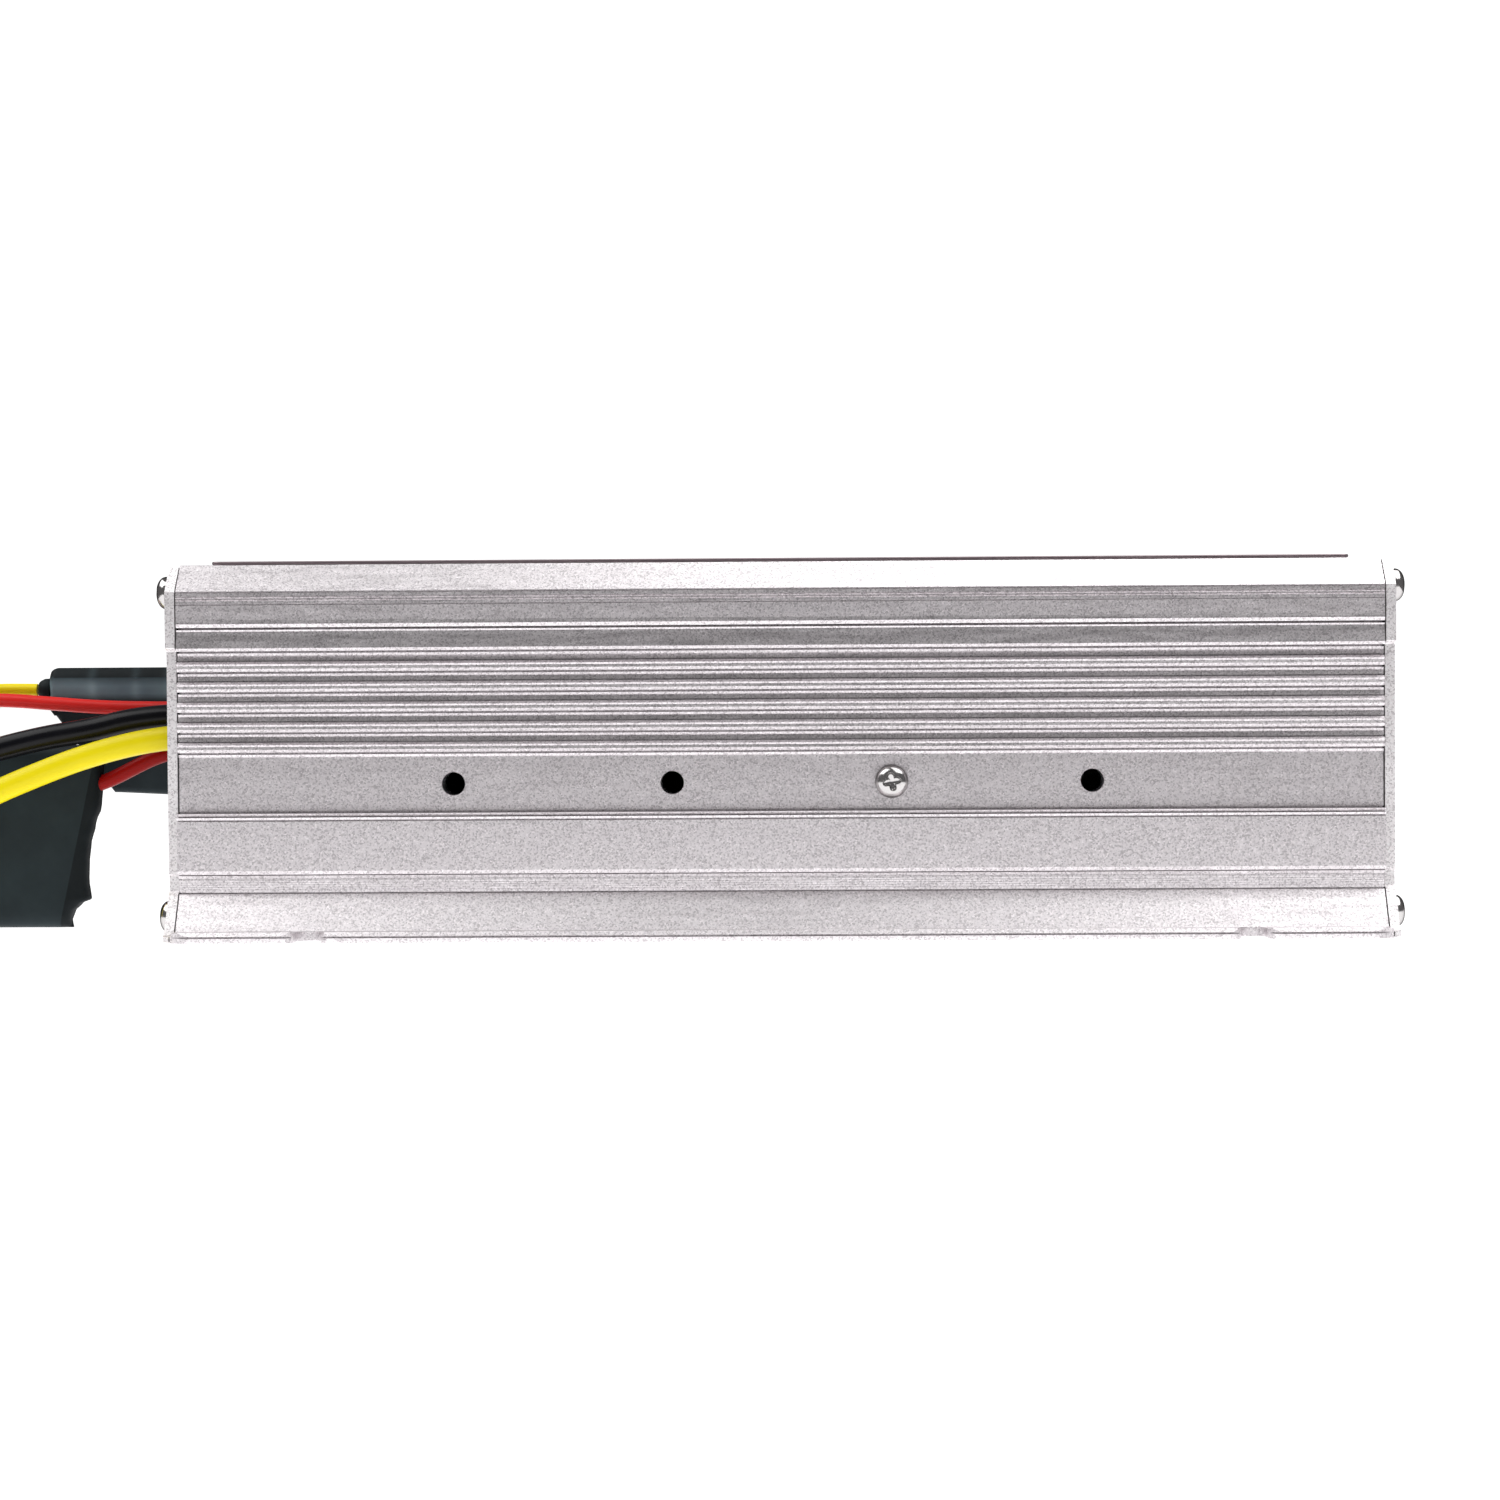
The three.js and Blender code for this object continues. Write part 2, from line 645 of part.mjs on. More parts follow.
function addTerminalBlock() {
  const block = box(LEAD_START_X + 0.3, LEAD_START_X + 11, -37, -9, BOARD_TOP + SHEET_GAP, 45);
  const wells = [-32, -26, -20, -14].map((y) =>
    rod('z', 1.6, 42, 46, LEAD_START_X + 6, y, 12));
  addPiece('lead_terminal_block', cut(block, wells), MATERIALS.terminal);
}

// ---------------------------------------------------------------- leads and sleeves

const BLACK_LEAD = {
  radius: 2.15,
  sides: 10,
  route: [
    [LEAD_START_X, -28.8, 38.3],
    [-103, -28.8, 38.3],
    [-109, -28.9, 38.3],
    [-115.8, -29.2, 37.6],
    [-123, -29.6, 36],
    [-130.2, -30, 34.8],
    [-138.8, -30.6, 32.8],
    [-148, -31.4, 29.8],
    [-157, -32.2, 25.8],
    [-166, -32.4, 20.7],
    [-175, -32.2, 14.9],
    [-184, -31.8, 9.4],
    [-193, -31.2, 5.1],
    [-202, -30.6, 2.8],
    [-212, -30, 2.3],
    [-223, -29.6, 2.3],
    [-234, -29.4, 2.3],
  ],
};

const YELLOW_LEAD = {
  radius: 2.15,
  sides: 10,
  route: [
    [LEAD_START_X, -33, 34.6],
    [-103, -33, 34.6],
    [-108.5, -33, 34.5],
    [-115.2, -33.1, 33.4],
    [-122.4, -33.4, 31.5],
    [-129.5, -33.9, 29],
    [-138.2, -34.6, 25.4],
    [-147, -35.4, 21.1],
    [-156, -36.3, 16.2],
    [-165, -37.2, 11.3],
    [-174, -38.1, 7.1],
    [-183, -38.9, 4.1],
    [-192, -39.5, 2.6],
    [-202, -40, 2.3],
    [-213, -40.3, 2.3],
    [-224, -40.4, 2.3],
  ],
};

const RED_LEAD = {
  radius: 1.25,
  sides: 8,
  route: [
    [LEAD_START_X, -20, 39.7],
    [-104, -20, 39.7],
    [-111, -20, 39.7],
    [-118, -20, 39.8],
    [-125, -20, 40.1],
    [-132.5, -20, 40.7],
    [-141.2, -19.8, 41.3],
    [-150, -19.3, 41],
    [-159, -18.6, 39],
    [-168, -17.9, 34.7],
    [-176, -17.2, 28.5],
    [-183, -16.6, 21.3],
    [-190, -16.1, 13.7],
    [-197, -15.7, 7.2],
    [-205, -15.5, 2.8],
    [-214, -15.5, 1.4],
    [-225, -15.8, 1.4],
  ],
};

const THIN_YELLOW_LEAD = {
  radius: 1.15,
  sides: 8,
  route: [
    [-136.6, -12, 43.1],
    [-144, -12, 43.1],
    [-152, -11.7, 42.2],
    [-161, -11.1, 39.3],
    [-169, -10.5, 34.4],
    [-177, -9.9, 27.5],
    [-184, -9.4, 20.2],
    [-191, -9, 12.8],
    [-198, -8.8, 6.6],
    [-206, -8.7, 2.5],
    [-215, -8.8, 1.3],
    [-226, -9.2, 1.3],
  ],
};

const SHORT_RED_LEAD = {
  radius: 1.35,
  sides: 8,
  route: [
    [LEAD_START_X, -25, 32.4],
    [-101, -25, 32.4],
    [-107, -25, 32.3],
    [-110.8, -24.8, 31.4],
    [-113.8, -24.3, 30.3],
    [-117.2, -23.5, 28.7],
    [-120.4, -22.6, 27.2],
    [-123.8, -22, 26],
    [-128, -21.9, 25.4],
  ],
};

const LEADS = {
  lead_black: [BLACK_LEAD, MATERIALS.blackLead],
  lead_yellow: [YELLOW_LEAD, MATERIALS.yellowLead],
  lead_red: [RED_LEAD, MATERIALS.redLead],
  lead_yellow_thin: [THIN_YELLOW_LEAD, MATERIALS.yellowLead],
  lead_red_short: [SHORT_RED_LEAD, MATERIALS.darkRedLead],
};

// A round tube along a lead's route.
function leadTube({ radius, sides, route }) {
  const curve = new THREE.CatmullRomCurve3(route.map((p) => new THREE.Vector3(...p)), false, 'centripetal');
  const section = new THREE.Shape();
  for (let i = 0; i < sides; i += 1) {
    const angle = (2 * Math.PI * i) / sides;
    const point = [radius * Math.cos(angle), radius * Math.sin(angle)];
    if (i === 0) section.moveTo(...point);
    else section.lineTo(...point);
  }
  const steps = Math.ceil(curve.getLength() / (radius * 5));
  return new THREE.ExtrudeGeometry(section, { steps, extrudePath: curve, bevelEnabled: false });
}

// A tinned conductor end, in line with the last stretch of its lead.
function tinnedEnd({ radius, route }) {
  const [x, y, z] = route[route.length - 1];
  const length = 7;
  const r = radius * 0.55;
  const profile = [
    [0, 0],
    [r, 0],
    [r, length - r * 0.6],
    [r * 0.5, length],
    [0, length],
  ].map(([a, b]) => new THREE.Vector2(a, b));
  return new THREE.LatheGeometry(profile, 10).rotateZ(Math.PI / 2).translate(x - FIT_GAP, y, z);
}

function addLeads() {
  for (const [name, [lead, look]] of Object.entries(LEADS)) addPiece(name, leadTube(lead), look);
  addPiece('tinned_end_black', tinnedEnd(BLACK_LEAD), MATERIALS.tinned);
  addPiece('tinned_end_yellow', tinnedEnd(YELLOW_LEAD), MATERIALS.tinned);
  addPiece('tinned_end_red', tinnedEnd(RED_LEAD), MATERIALS.tinned);
  addPiece('tinned_end_yellow_thin', tinnedEnd(THIN_YELLOW_LEAD), MATERIALS.tinned);
}

// The rubber plug that fills the cable port, with a hole for each lead that comes out of it.
function cableGrommet() {
  const plug = extrudeAlongX(cablePort(-FIT_GAP), GROMMET_FACE_X, -END_X + 3, 4);
  const lip = extrudeAlongX(cablePort(1.2), GROMMET_FACE_X, -OUTER_X - SHEET_GAP, 4);
  const holes = [BLACK_LEAD, YELLOW_LEAD, RED_LEAD, SHORT_RED_LEAD].map(({ radius, route }) =>
    rod('x', radius + FIT_GAP, GROMMET_FACE_X - 1, -END_X + 4, route[0][1], route[0][2], 12));
  return cut(join([plug, lip]), holes);
}

// The flattened heat-shrink sleeve behind the leads: a round top run, a flat web with a
// slanted end below it, and a collar where the thin lead comes out.
function rearSleeve() {
  const y = -12;
  const start = GROMMET_FACE_X - FIT_GAP;
  const topZ = 44;
  const web = polygon([
    [start, 23.6],
    [-121.4, 24.2],
    [-123, 25.4],
    [-134.2, 39.6],
    [-135.4, 43],
    [start, 44],
  ]);
  return join([
    rod('x', 3, -134.6, start, y, topZ, 14),
    extrudeAlongY(web, y - 1.5, y + 1.5),
    rod('x', 2, -136.3, -134, y, 43.1, 12),
  ]);
}

// The tall flat sleeve that stands on its lower edge: a wavy near edge with a bite at its foot,
// and a socket in that edge which the short red lead runs into.
function frontSleeve() {
  const y = -22;
  const outline = new THREE.Shape();
  outline.moveTo(-128.2, 0.2);
  outline.lineTo(-128.4, 2.2);
  outline.quadraticCurveTo(-127.4, 4.6, -125.1, 5.6);
  outline.quadraticCurveTo(-126.2, 11, -124.6, 18.5);
  outline.quadraticCurveTo(-122.6, 22, -122.6, 26);
  outline.lineTo(-122.5, 31.5);
  outline.quadraticCurveTo(-123, 32.6, -125, 32.8);
  outline.lineTo(-163, 33.2);
  outline.quadraticCurveTo(-166.5, 33, -167, 30);
  outline.lineTo(-167, 3);
  outline.quadraticCurveTo(-166.5, 0.2, -163, 0.2);
  const socketRoute = [...SHORT_RED_LEAD.route, [-130, -21.9, 25.2]];
  const socket = leadTube({ ...SHORT_RED_LEAD, radius: SHORT_RED_LEAD.radius + FIT_GAP, route: socketRoute });
  return cut(extrudeAlongY(outline, y - 2.4, y + 2.4, 5), [socket]);
}

// ---------------------------------------------------------------- assembly

addPiece('housing_extrusion', housing(), MATERIALS.blastedAluminium);
addPiece('left_end_plate', endPlate(-1), MATERIALS.plateAluminium);
addPiece('right_end_plate', endPlate(1), MATERIALS.plateAluminium);
addPiece('left_gasket', gasket(-1), MATERIALS.gasket);
addPiece('right_gasket', gasket(1), MATERIALS.gasket);
addEndScrews();
addPiece('clamp_screw_front', clampScrew(-1), MATERIALS.brightScrew);
addPiece('clamp_screw_back', clampScrew(1), MATERIALS.brightScrew);
addPiece('nameplate', nameplate(), MATERIALS.nameplate);
addPiece('cable_grommet', cableGrommet(), MATERIALS.grommet);

addPiece('main_board', mainBoard(), MATERIALS.board);
addPiece('heat_bar_front', heatBar(-1), MATERIALS.barAluminium);
addPiece('heat_bar_back', heatBar(1), MATERIALS.barAluminium);
addPiece('heat_pad_front', heatPad(-1), MATERIALS.insulator);
addPiece('heat_pad_back', heatPad(1), MATERIALS.insulator);
addTransistors();
addTransformer();
addChoke();
addCapacitors();
addSmallPowerParts();
addControlBoard();
addTerminalBlock();

addLeads();
addPiece('rear_sleeve', rearSleeve(), MATERIALS.sleeve);
addPiece('front_sleeve', frontSleeve(), MATERIALS.sleeve);

export default object;
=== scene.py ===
"""Looks for the finned power converter module. Metres, +Z up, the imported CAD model's frame.

Lengths in the tables and constants are millimetres, turned into metres by MM where geometry is made.
Only the stage and the camera's clip distances are in metres. X runs along the case, the leads leave at
-X, and -Y is the side that the camera sees.
"""

import json
import math
import random

import bmesh
import bpy
from mathutils import Matrix, Vector


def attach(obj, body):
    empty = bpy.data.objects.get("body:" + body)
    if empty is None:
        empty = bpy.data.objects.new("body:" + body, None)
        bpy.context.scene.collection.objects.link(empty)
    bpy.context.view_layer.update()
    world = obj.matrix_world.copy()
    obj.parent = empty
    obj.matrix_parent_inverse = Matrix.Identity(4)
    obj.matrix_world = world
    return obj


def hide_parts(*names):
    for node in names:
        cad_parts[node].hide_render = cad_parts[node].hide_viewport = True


MM = 0.001

# ------------ shared dimensions

# The extrusion ends at END_X, and each end plate reaches from PLATE_X to OUTER_X. Between them lies a
# gasket. WALL_Y and INNER_Y are the outer and inner face of the plain side walls.
WALL_Y = 46.0
INNER_Y = 42.5
CASE_HEIGHT = 64.75
END_X = 104.0
PLATE_X = 104.25
OUTER_X = 105.95
GROMMET_FACE_X = -107.15

FLANGE_REACH = 11.5
FLANGE_CORNER_RADIUS = 6.0
SLOT_X = 80.5
SLOT_RADIUS = 2.3
SLOT_DEPTH = 6.2
SLOT_MOUTH_RADIUS = 1.9

FIN_COUNT = 5
FIRST_FIN_Z = 32.2
FIN_PITCH = 3.5

HOLE_XS = (-56.4, -18.5, 19.4, 54.0)
HOLE_Z = 26.6
HOLE_RADIUS = 2.0
SCREWED_HOLE_X = HOLE_XS[2]

END_SCREW_Y = 42.2
END_SCREW_ZS = {"lower": 3.5, "upper": 60.0}
CHANNEL_RADIUS = 1.7
PLATE_HOLE_RADIUS = 1.65

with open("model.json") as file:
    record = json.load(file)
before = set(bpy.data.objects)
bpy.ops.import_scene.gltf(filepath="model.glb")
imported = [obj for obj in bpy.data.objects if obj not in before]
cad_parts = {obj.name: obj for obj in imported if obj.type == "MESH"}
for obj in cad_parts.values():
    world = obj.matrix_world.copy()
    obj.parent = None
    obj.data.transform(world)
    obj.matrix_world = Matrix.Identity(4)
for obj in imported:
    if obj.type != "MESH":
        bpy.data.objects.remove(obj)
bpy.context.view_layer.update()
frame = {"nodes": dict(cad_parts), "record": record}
random.seed(7)


# ------------ camera

CAMERA_PLACE = (5.51, -603.59, 46.13)
CAMERA_YAW = -1.082
CAMERA_PITCH = -1.435
CAMERA_ROLL = -0.36
CAMERA_LENS = 77.52
SENSOR_WIDTH = 36


def make_camera():
    """A camera that looks along +Y, turned by its yaw, pitch and roll in degrees."""
    yaw = math.radians(CAMERA_YAW)
    pitch = math.radians(CAMERA_PITCH)
    roll = math.radians(CAMERA_ROLL)
    forward = Vector((math.sin(yaw) * math.cos(pitch), math.cos(yaw) * math.cos(pitch), math.sin(pitch)))
    level_right = Vector((math.cos(yaw), -math.sin(yaw), 0))
    level_up = level_right.cross(forward)
    right = math.cos(roll) * level_right + math.sin(roll) * level_up
    up = -math.sin(roll) * level_right + math.cos(roll) * level_up
    data = bpy.data.cameras.new("camera")
    data.sensor_width = SENSOR_WIDTH
    data.lens = CAMERA_LENS
    data.clip_start = 0.02
    data.clip_end = 50
    camera = bpy.data.objects.new("camera", data)
    axes = Matrix((right, up, -forward)).transposed().to_4x4()
    camera.matrix_world = Matrix.Translation(Vector(CAMERA_PLACE) * MM) @ axes
    bpy.context.scene.collection.objects.link(camera)
    bpy.context.scene.camera = camera


make_camera()


# ------------ material helpers

# Nearly all of a noise texture's values lie between these two.
NOISE_LOW = 0.3
NOISE_HIGH = 0.7


def new_material(name, colour, roughness, metallic=0.0, specular=0.5):
    material = bpy.data.materials.new(name)
    material.use_nodes = True
    shader = material.node_tree.nodes["Principled BSDF"]
    shader.inputs["Base Color"].default_value = (*colour, 1)
    shader.inputs["Roughness"].default_value = roughness
    shader.inputs["Metallic"].default_value = metallic
    shader.inputs["Specular IOR Level"].default_value = specular
    return material, material.node_tree, shader


def scaled(colour, factor):
    """The colour made darker or lighter."""
    return tuple(min(1, channel * factor) for channel in colour)


def object_coordinates(tree, stretch=(1, 1, 1)):
    """The piece's own coordinates. A stretch above 1 draws the texture out along that axis."""
    coordinates = tree.nodes.new("ShaderNodeTexCoord")
    mapping = tree.nodes.new("ShaderNodeMapping")
    mapping.inputs["Scale"].default_value = tuple(1 / factor for factor in stretch)
    tree.links.new(coordinates.outputs["Object"], mapping.inputs["Vector"])
    return mapping.outputs["Vector"]


def noise(tree, grain_mm, detail=2.0, stretch=(1, 1, 1)):
    """Noise whose grain is about grain_mm across."""
    texture = tree.nodes.new("ShaderNodeTexNoise")
    texture.inputs["Scale"].default_value = 1 / (grain_mm * MM)
    texture.inputs["Detail"].default_value = detail
    tree.links.new(object_coordinates(tree, stretch), texture.inputs["Vector"])
    return texture.outputs["Fac"]


def specks(tree, size_mm):
    """A random value for each of many small cells."""
    cells = tree.nodes.new("ShaderNodeTexVoronoi")
    cells.inputs["Scale"].default_value = 1 / (size_mm * MM)
    tree.links.new(object_coordinates(tree), cells.inputs["Vector"])
    split = tree.nodes.new("ShaderNodeSeparateColor")
    tree.links.new(cells.outputs["Color"], split.inputs["Color"])
    return split.outputs["Red"]


def ramp(tree, value, stops):
    """A colour that goes through (position, colour) stops as the value rises."""
    node = tree.nodes.new("ShaderNodeValToRGB")
    elements = node.color_ramp.elements
    while len(elements) < len(stops):
        elements.new(0.5)
    for element, (position, colour) in zip(elements, stops):
        element.position = position
        element.color = (*colour, 1)
    tree.links.new(value, node.inputs["Fac"])
    return node.outputs["Color"]


def link_colour(tree, shader, colour):
    tree.links.new(colour, shader.inputs["Base Color"])


def two_tone(tree, shader, value, dark, light):
    """Colours the surface from dark to light as the noise rises."""
    link_colour(tree, shader, ramp(tree, value, [(NOISE_LOW, dark), (NOISE_HIGH, light)]))


def vary_roughness(tree, shader, value, low, high):
    """Makes the roughness go from low to high as the noise rises."""
    node = tree.nodes.new("ShaderNodeMapRange")
    node.inputs["From Min"].default_value = NOISE_LOW
    node.inputs["From Max"].default_value = NOISE_HIGH
    node.inputs["To Min"].default_value = low
    node.inputs["To Max"].default_value = high
    tree.links.new(value, node.inputs["Value"])
    tree.links.new(node.outputs["Result"], shader.inputs["Roughness"])


def add_bump(tree, shader, height, distance_mm, strength=1.0):
    bump = tree.nodes.new("ShaderNodeBump")
    bump.inputs["Distance"].default_value = distance_mm * MM
    bump.inputs["Strength"].default_value = strength
    tree.links.new(height, bump.inputs["Height"])
    tree.links.new(bump.outputs["Normal"], shader.inputs["Normal"])


# ------------ materials

def blasted_aluminium(name, dark, light, roughness):
    """Bead-blasted, clear-anodised aluminium: a fine bright grain over a satin metal."""
    material, tree, shader = new_material(name, light, roughness, metallic=1.0)
    stops = [(0.0, dark), (0.5, light), (0.86, light), (1.0, scaled(light, 1.22))]
    link_colour(tree, shader, ramp(tree, specks(tree, 0.24), stops))
    streaks = noise(tree, 0.9, stretch=(12, 1, 1))
    vary_roughness(tree, shader, streaks, roughness - 0.05, roughness + 0.07)
    add_bump(tree, shader, noise(tree, 0.22, detail=1), 0.02)
    return material


def screw_metal():
    """Bright nickel plating, darker where it turns away."""
    material, tree, shader = new_material("bright_nickel", (0.6, 0.585, 0.58), 0.16, metallic=1.0)
    shader.inputs["Specular Tint"].default_value = (0.05, 0.05, 0.05, 1)
    vary_roughness(tree, shader, noise(tree, 0.5), 0.1, 0.22)
    add_bump(tree, shader, noise(tree, 0.8), 0.02, 0.5)
    return material


def film_plate():
    """The nameplate: anodised sheet in a mauve grey with a faint brushed sheen."""
    material, tree, shader = new_material("nameplate_film", (0.3, 0.245, 0.26), 0.42, metallic=0.9)
    streaks = noise(tree, 0.5, detail=4, stretch=(60, 1, 1))
    two_tone(tree, shader, streaks, (0.26, 0.21, 0.225), (0.34, 0.28, 0.295))
    vary_roughness(tree, shader, streaks, 0.36, 0.5)
    return material


def rubber(name, colour):
    """Matt moulded rubber, slightly mottled."""
    roughness = 0.7
    material, tree, shader = new_material(name, colour, roughness, specular=0.35)
    two_tone(tree, shader, noise(tree, 3.0, detail=4), scaled(colour, 0.85), scaled(colour, 1.2))
    vary_roughness(tree, shader, noise(tree, 0.4), roughness - 0.08, roughness + 0.08)
    add_bump(tree, shader, noise(tree, 0.35, detail=3), 0.03)
    return material


def insulation(name, colour, roughness, tint=0.12, specular=0.25):
    """Extruded wire insulation: nearly smooth, with patches that are duller by the tint."""
    material, tree, shader = new_material(name, colour, roughness, specular=specular)
    patches = noise(tree, 6.0, detail=5)
    two_tone(tree, shader, patches, scaled(colour, 1 - tint), scaled(colour, 1 + tint / 2))
    scuffs = noise(tree, 1.2, detail=3, stretch=(4, 1, 1))
    vary_roughness(tree, shader, scuffs, roughness - 0.04, roughness + 0.06)
    add_bump(tree, shader, noise(tree, 0.5, stretch=(3, 1, 1)), 0.004)
    return material


def heat_shrink(name, dark, light):
    """Heat-shrink film: soft sheen and a fine skin, with painted highlights and painted shadow: its colour
    is scaled paler or darker by a per-point attribute.
    """
    material, tree, shader = new_material(name, light, 0.55, specular=0.14)
    film = ramp(tree, noise(tree, 9.0, detail=4), [(NOISE_LOW, dark), (NOISE_HIGH, light)])
    painted_light = tree.nodes.new("ShaderNodeAttribute")
    painted_light.attribute_name = "painted_light"
    factor = tree.nodes.new("ShaderNodeMath")
    factor.operation = "ADD"
    factor.inputs[1].default_value = 1.0
    tree.links.new(painted_light.outputs["Fac"], factor.inputs[0])
    # The film colour times one plus the painted light and shadow stored at each point.
    film_with_painted_light = tree.nodes.new("ShaderNodeVectorMath")
    film_with_painted_light.operation = "SCALE"
    tree.links.new(film, film_with_painted_light.inputs[0])
    tree.links.new(factor.outputs["Value"], film_with_painted_light.inputs["Scale"])
    link_colour(tree, shader, film_with_painted_light.outputs["Vector"])
    vary_roughness(tree, shader, noise(tree, 1.5, detail=4), 0.5, 0.62)
    add_bump(tree, shader, noise(tree, 0.35, detail=2), 0.01)
    return material


def board_laminate():
    """Green solder mask in slightly uneven shades."""
    material, tree, shader = new_material("board_laminate", (0.01, 0.105, 0.045), 0.35)
    stops = [
        (0.42, (0.008, 0.085, 0.035)),
        (0.5, (0.012, 0.12, 0.052)),
        (0.58, (0.016, 0.14, 0.06)),
    ]
    link_colour(tree, shader, ramp(tree, noise(tree, 4.0, detail=6), stops))
    add_bump(tree, shader, noise(tree, 0.6), 0.01)
    return material


def speckled(name, colour, roughness, metallic=0.0, grain_mm=0.5):
    """A plain moulded, cast or wound surface with a little colour grain."""
    material, tree, shader = new_material(name, colour, roughness, metallic=metallic)
    grain = noise(tree, grain_mm, detail=3)
    two_tone(tree, shader, grain, scaled(colour, 0.85), scaled(colour, 1.15))
    vary_roughness(tree, shader, grain, roughness - 0.05, roughness + 0.05)
    add_bump(tree, shader, noise(tree, grain_mm, detail=2), 0.02)
    return material


MATERIALS = {
    "case_aluminium": blasted_aluminium("case_aluminium", (0.5, 0.47, 0.485), (0.82, 0.785, 0.8), 0.4),
    "plate_aluminium": blasted_aluminium("plate_aluminium", (0.62, 0.59, 0.6), (0.97, 0.945, 0.95), 0.55),
    "screw_steel": screw_metal(),
    "nameplate_film": film_plate(),
    "gasket_rubber": rubber("gasket_rubber", (0.06, 0.055, 0.055)),
    "grommet_rubber": rubber("grommet_rubber", (0.022, 0.022, 0.024)),
    "board_laminate": board_laminate(),
    "bar_aluminium": blasted_aluminium("bar_aluminium", (0.6, 0.61, 0.62), (0.78, 0.79, 0.8), 0.36),
    "pad_silicone": rubber("pad_silicone", (0.09, 0.092, 0.1)),
    "moulded_black": speckled("moulded_black", (0.018, 0.018, 0.02), 0.5),
    "ferrite": speckled("ferrite", (0.045, 0.045, 0.048), 0.6, grain_mm=0.3),
    "taped_winding": speckled("taped_winding", (0.62, 0.38, 0.04), 0.35, grain_mm=2.0),
    "copper_winding": speckled("copper_winding", (0.62, 0.26, 0.1), 0.28, metallic=1.0, grain_mm=1.0),
    "capacitor_can": speckled("capacitor_can", (0.02, 0.026, 0.036), 0.28, grain_mm=3.0),
    "film_block": speckled("film_block", (0.34, 0.03, 0.018), 0.3, grain_mm=2.0),
    "fuse_plastic": speckled("fuse_plastic", (0.06, 0.33, 0.1), 0.25, grain_mm=2.0),
    "terminal_plastic": speckled("terminal_plastic", (0.025, 0.085, 0.04), 0.4),
    "lead_black_pvc": insulation("lead_black_pvc", (0.003, 0.003, 0.005), 0.28, specular=0.22),
    "lead_yellow_pvc": insulation("lead_yellow_pvc", (0.98, 0.82, 0.004), 0.34, tint=0.03),
    "lead_red_pvc": insulation("lead_red_pvc", (0.78, 0.022, 0.018), 0.34, tint=0.05),
    # Painted shadow: a darker, less glossy copy of the red insulation for the short lead, which lies in the
    # shadow of the other leads and the sleeves.
    "lead_dark_red_pvc": insulation(
        "lead_dark_red_pvc", (0.3, 0.003, 0.002), 0.4, tint=0.05, specular=0.12,
    ),
    "tinned_copper": speckled("tinned_copper", (0.7, 0.69, 0.68), 0.3, metallic=1.0),
    "heat_shrink": heat_shrink("heat_shrink", (0.0155, 0.0225, 0.026), (0.023, 0.0345, 0.0385)),
}


# ------------ mesh helpers

def new_piece(name, mesh, slot):
    piece = bpy.data.objects.new(name, mesh)
    bpy.context.scene.collection.objects.link(piece)
    mesh.materials.clear()
    mesh.materials.append(MATERIALS[slot])
    return piece


def mesh_from(name, vertices, faces):
    """A mesh from points in millimetres."""
    mesh = bpy.data.meshes.new(name)
    mesh.from_pydata([Vector(v) * MM for v in vertices], [], faces)
    work = bmesh.new()
    work.from_mesh(mesh)
    bmesh.ops.recalc_face_normals(work, faces=work.faces)
    work.to_mesh(mesh)
    work.free()
    return mesh


def loft(name, rings):
    """A closed solid through rings that all have the same number of points."""
    count = len(rings[0])
    last = count * (len(rings) - 1)
    vertices = [point for ring in rings for point in ring]
    faces = [tuple(range(count)), tuple(range(last, last + count))]
    for low in range(0, last, count):
        high = low + count
        for i in range(count):
            j = (i + 1) % count
            faces.append((low + i, low + j, high + j, high + i))
    return mesh_from(name, vertices, faces)


def prism(name, outline, axis, low, high):
    """A closed prism along x from an outline of (y, z) points, or along z from one of (x, y) points."""
    if axis == "x":
        rings = [[(x, y, z) for y, z in outline] for x in (low, high)]
    else:
        rings = [[(x, y, z) for x, y in outline] for z in (low, high)]
    return loft(name, rings)


def circle(a, b, radius, sides):
    turn = 2 * math.pi / sides
    return [(a + radius * math.cos(i * turn), b + radius * math.sin(i * turn)) for i in range(sides)]


def quarter_turn(steps):
    """Angles from 0 to a right angle, both included."""
    return [math.pi / 2 * step / steps for step in range(steps + 1)]


def rounded(corners, segments):
    """Rounds each corner (a, b, radius) of a closed outline; a zero radius stays sharp."""
    nearly_straight = math.radians(176)
    longest_share = 0.45
    points = []
    count = len(corners)
    for i, (a, b, radius) in enumerate(corners):
        here = Vector((a, b))
        before = Vector(corners[i - 1][:2]) - here
        after = Vector(corners[(i + 1) % count][:2]) - here
        angle = before.angle(after)
        if radius <= 0 or angle > nearly_straight:
            points.append((a, b))
            continue
        wanted = radius / math.tan(angle / 2)
        reach = min(wanted, longest_share * before.length, longest_share * after.length)
        radius = reach * math.tan(angle / 2)
        start = here + before.normalized() * reach
        end = here + after.normalized() * reach
        middle = (before.normalized() + after.normalized()).normalized()
        centre = here + middle * radius / math.sin(angle / 2)
        spoke = start - centre
        sweep = spoke.angle_signed(end - centre)
        for step in range(segments + 1):
            turned = spoke.copy()
            turned.rotate(Matrix.Rotation(-sweep * step / segments, 2))
            points.append(tuple(centre + turned))
    return points


def rounded_rectangle(low_a, high_a, low_b, high_b, radius, segments):
    corners = [(low_a, low_b), (high_a, low_b), (high_a, high_b), (low_a, high_b)]
    return rounded([(a, b, radius) for a, b in corners], segments)


def merged(name, meshes):
    """One mesh holding several that don't touch."""
    work = bmesh.new()
    for mesh in meshes:
        work.from_mesh(mesh)
    mesh = bpy.data.meshes.new(name)
    work.to_mesh(mesh)
    work.free()
    return mesh


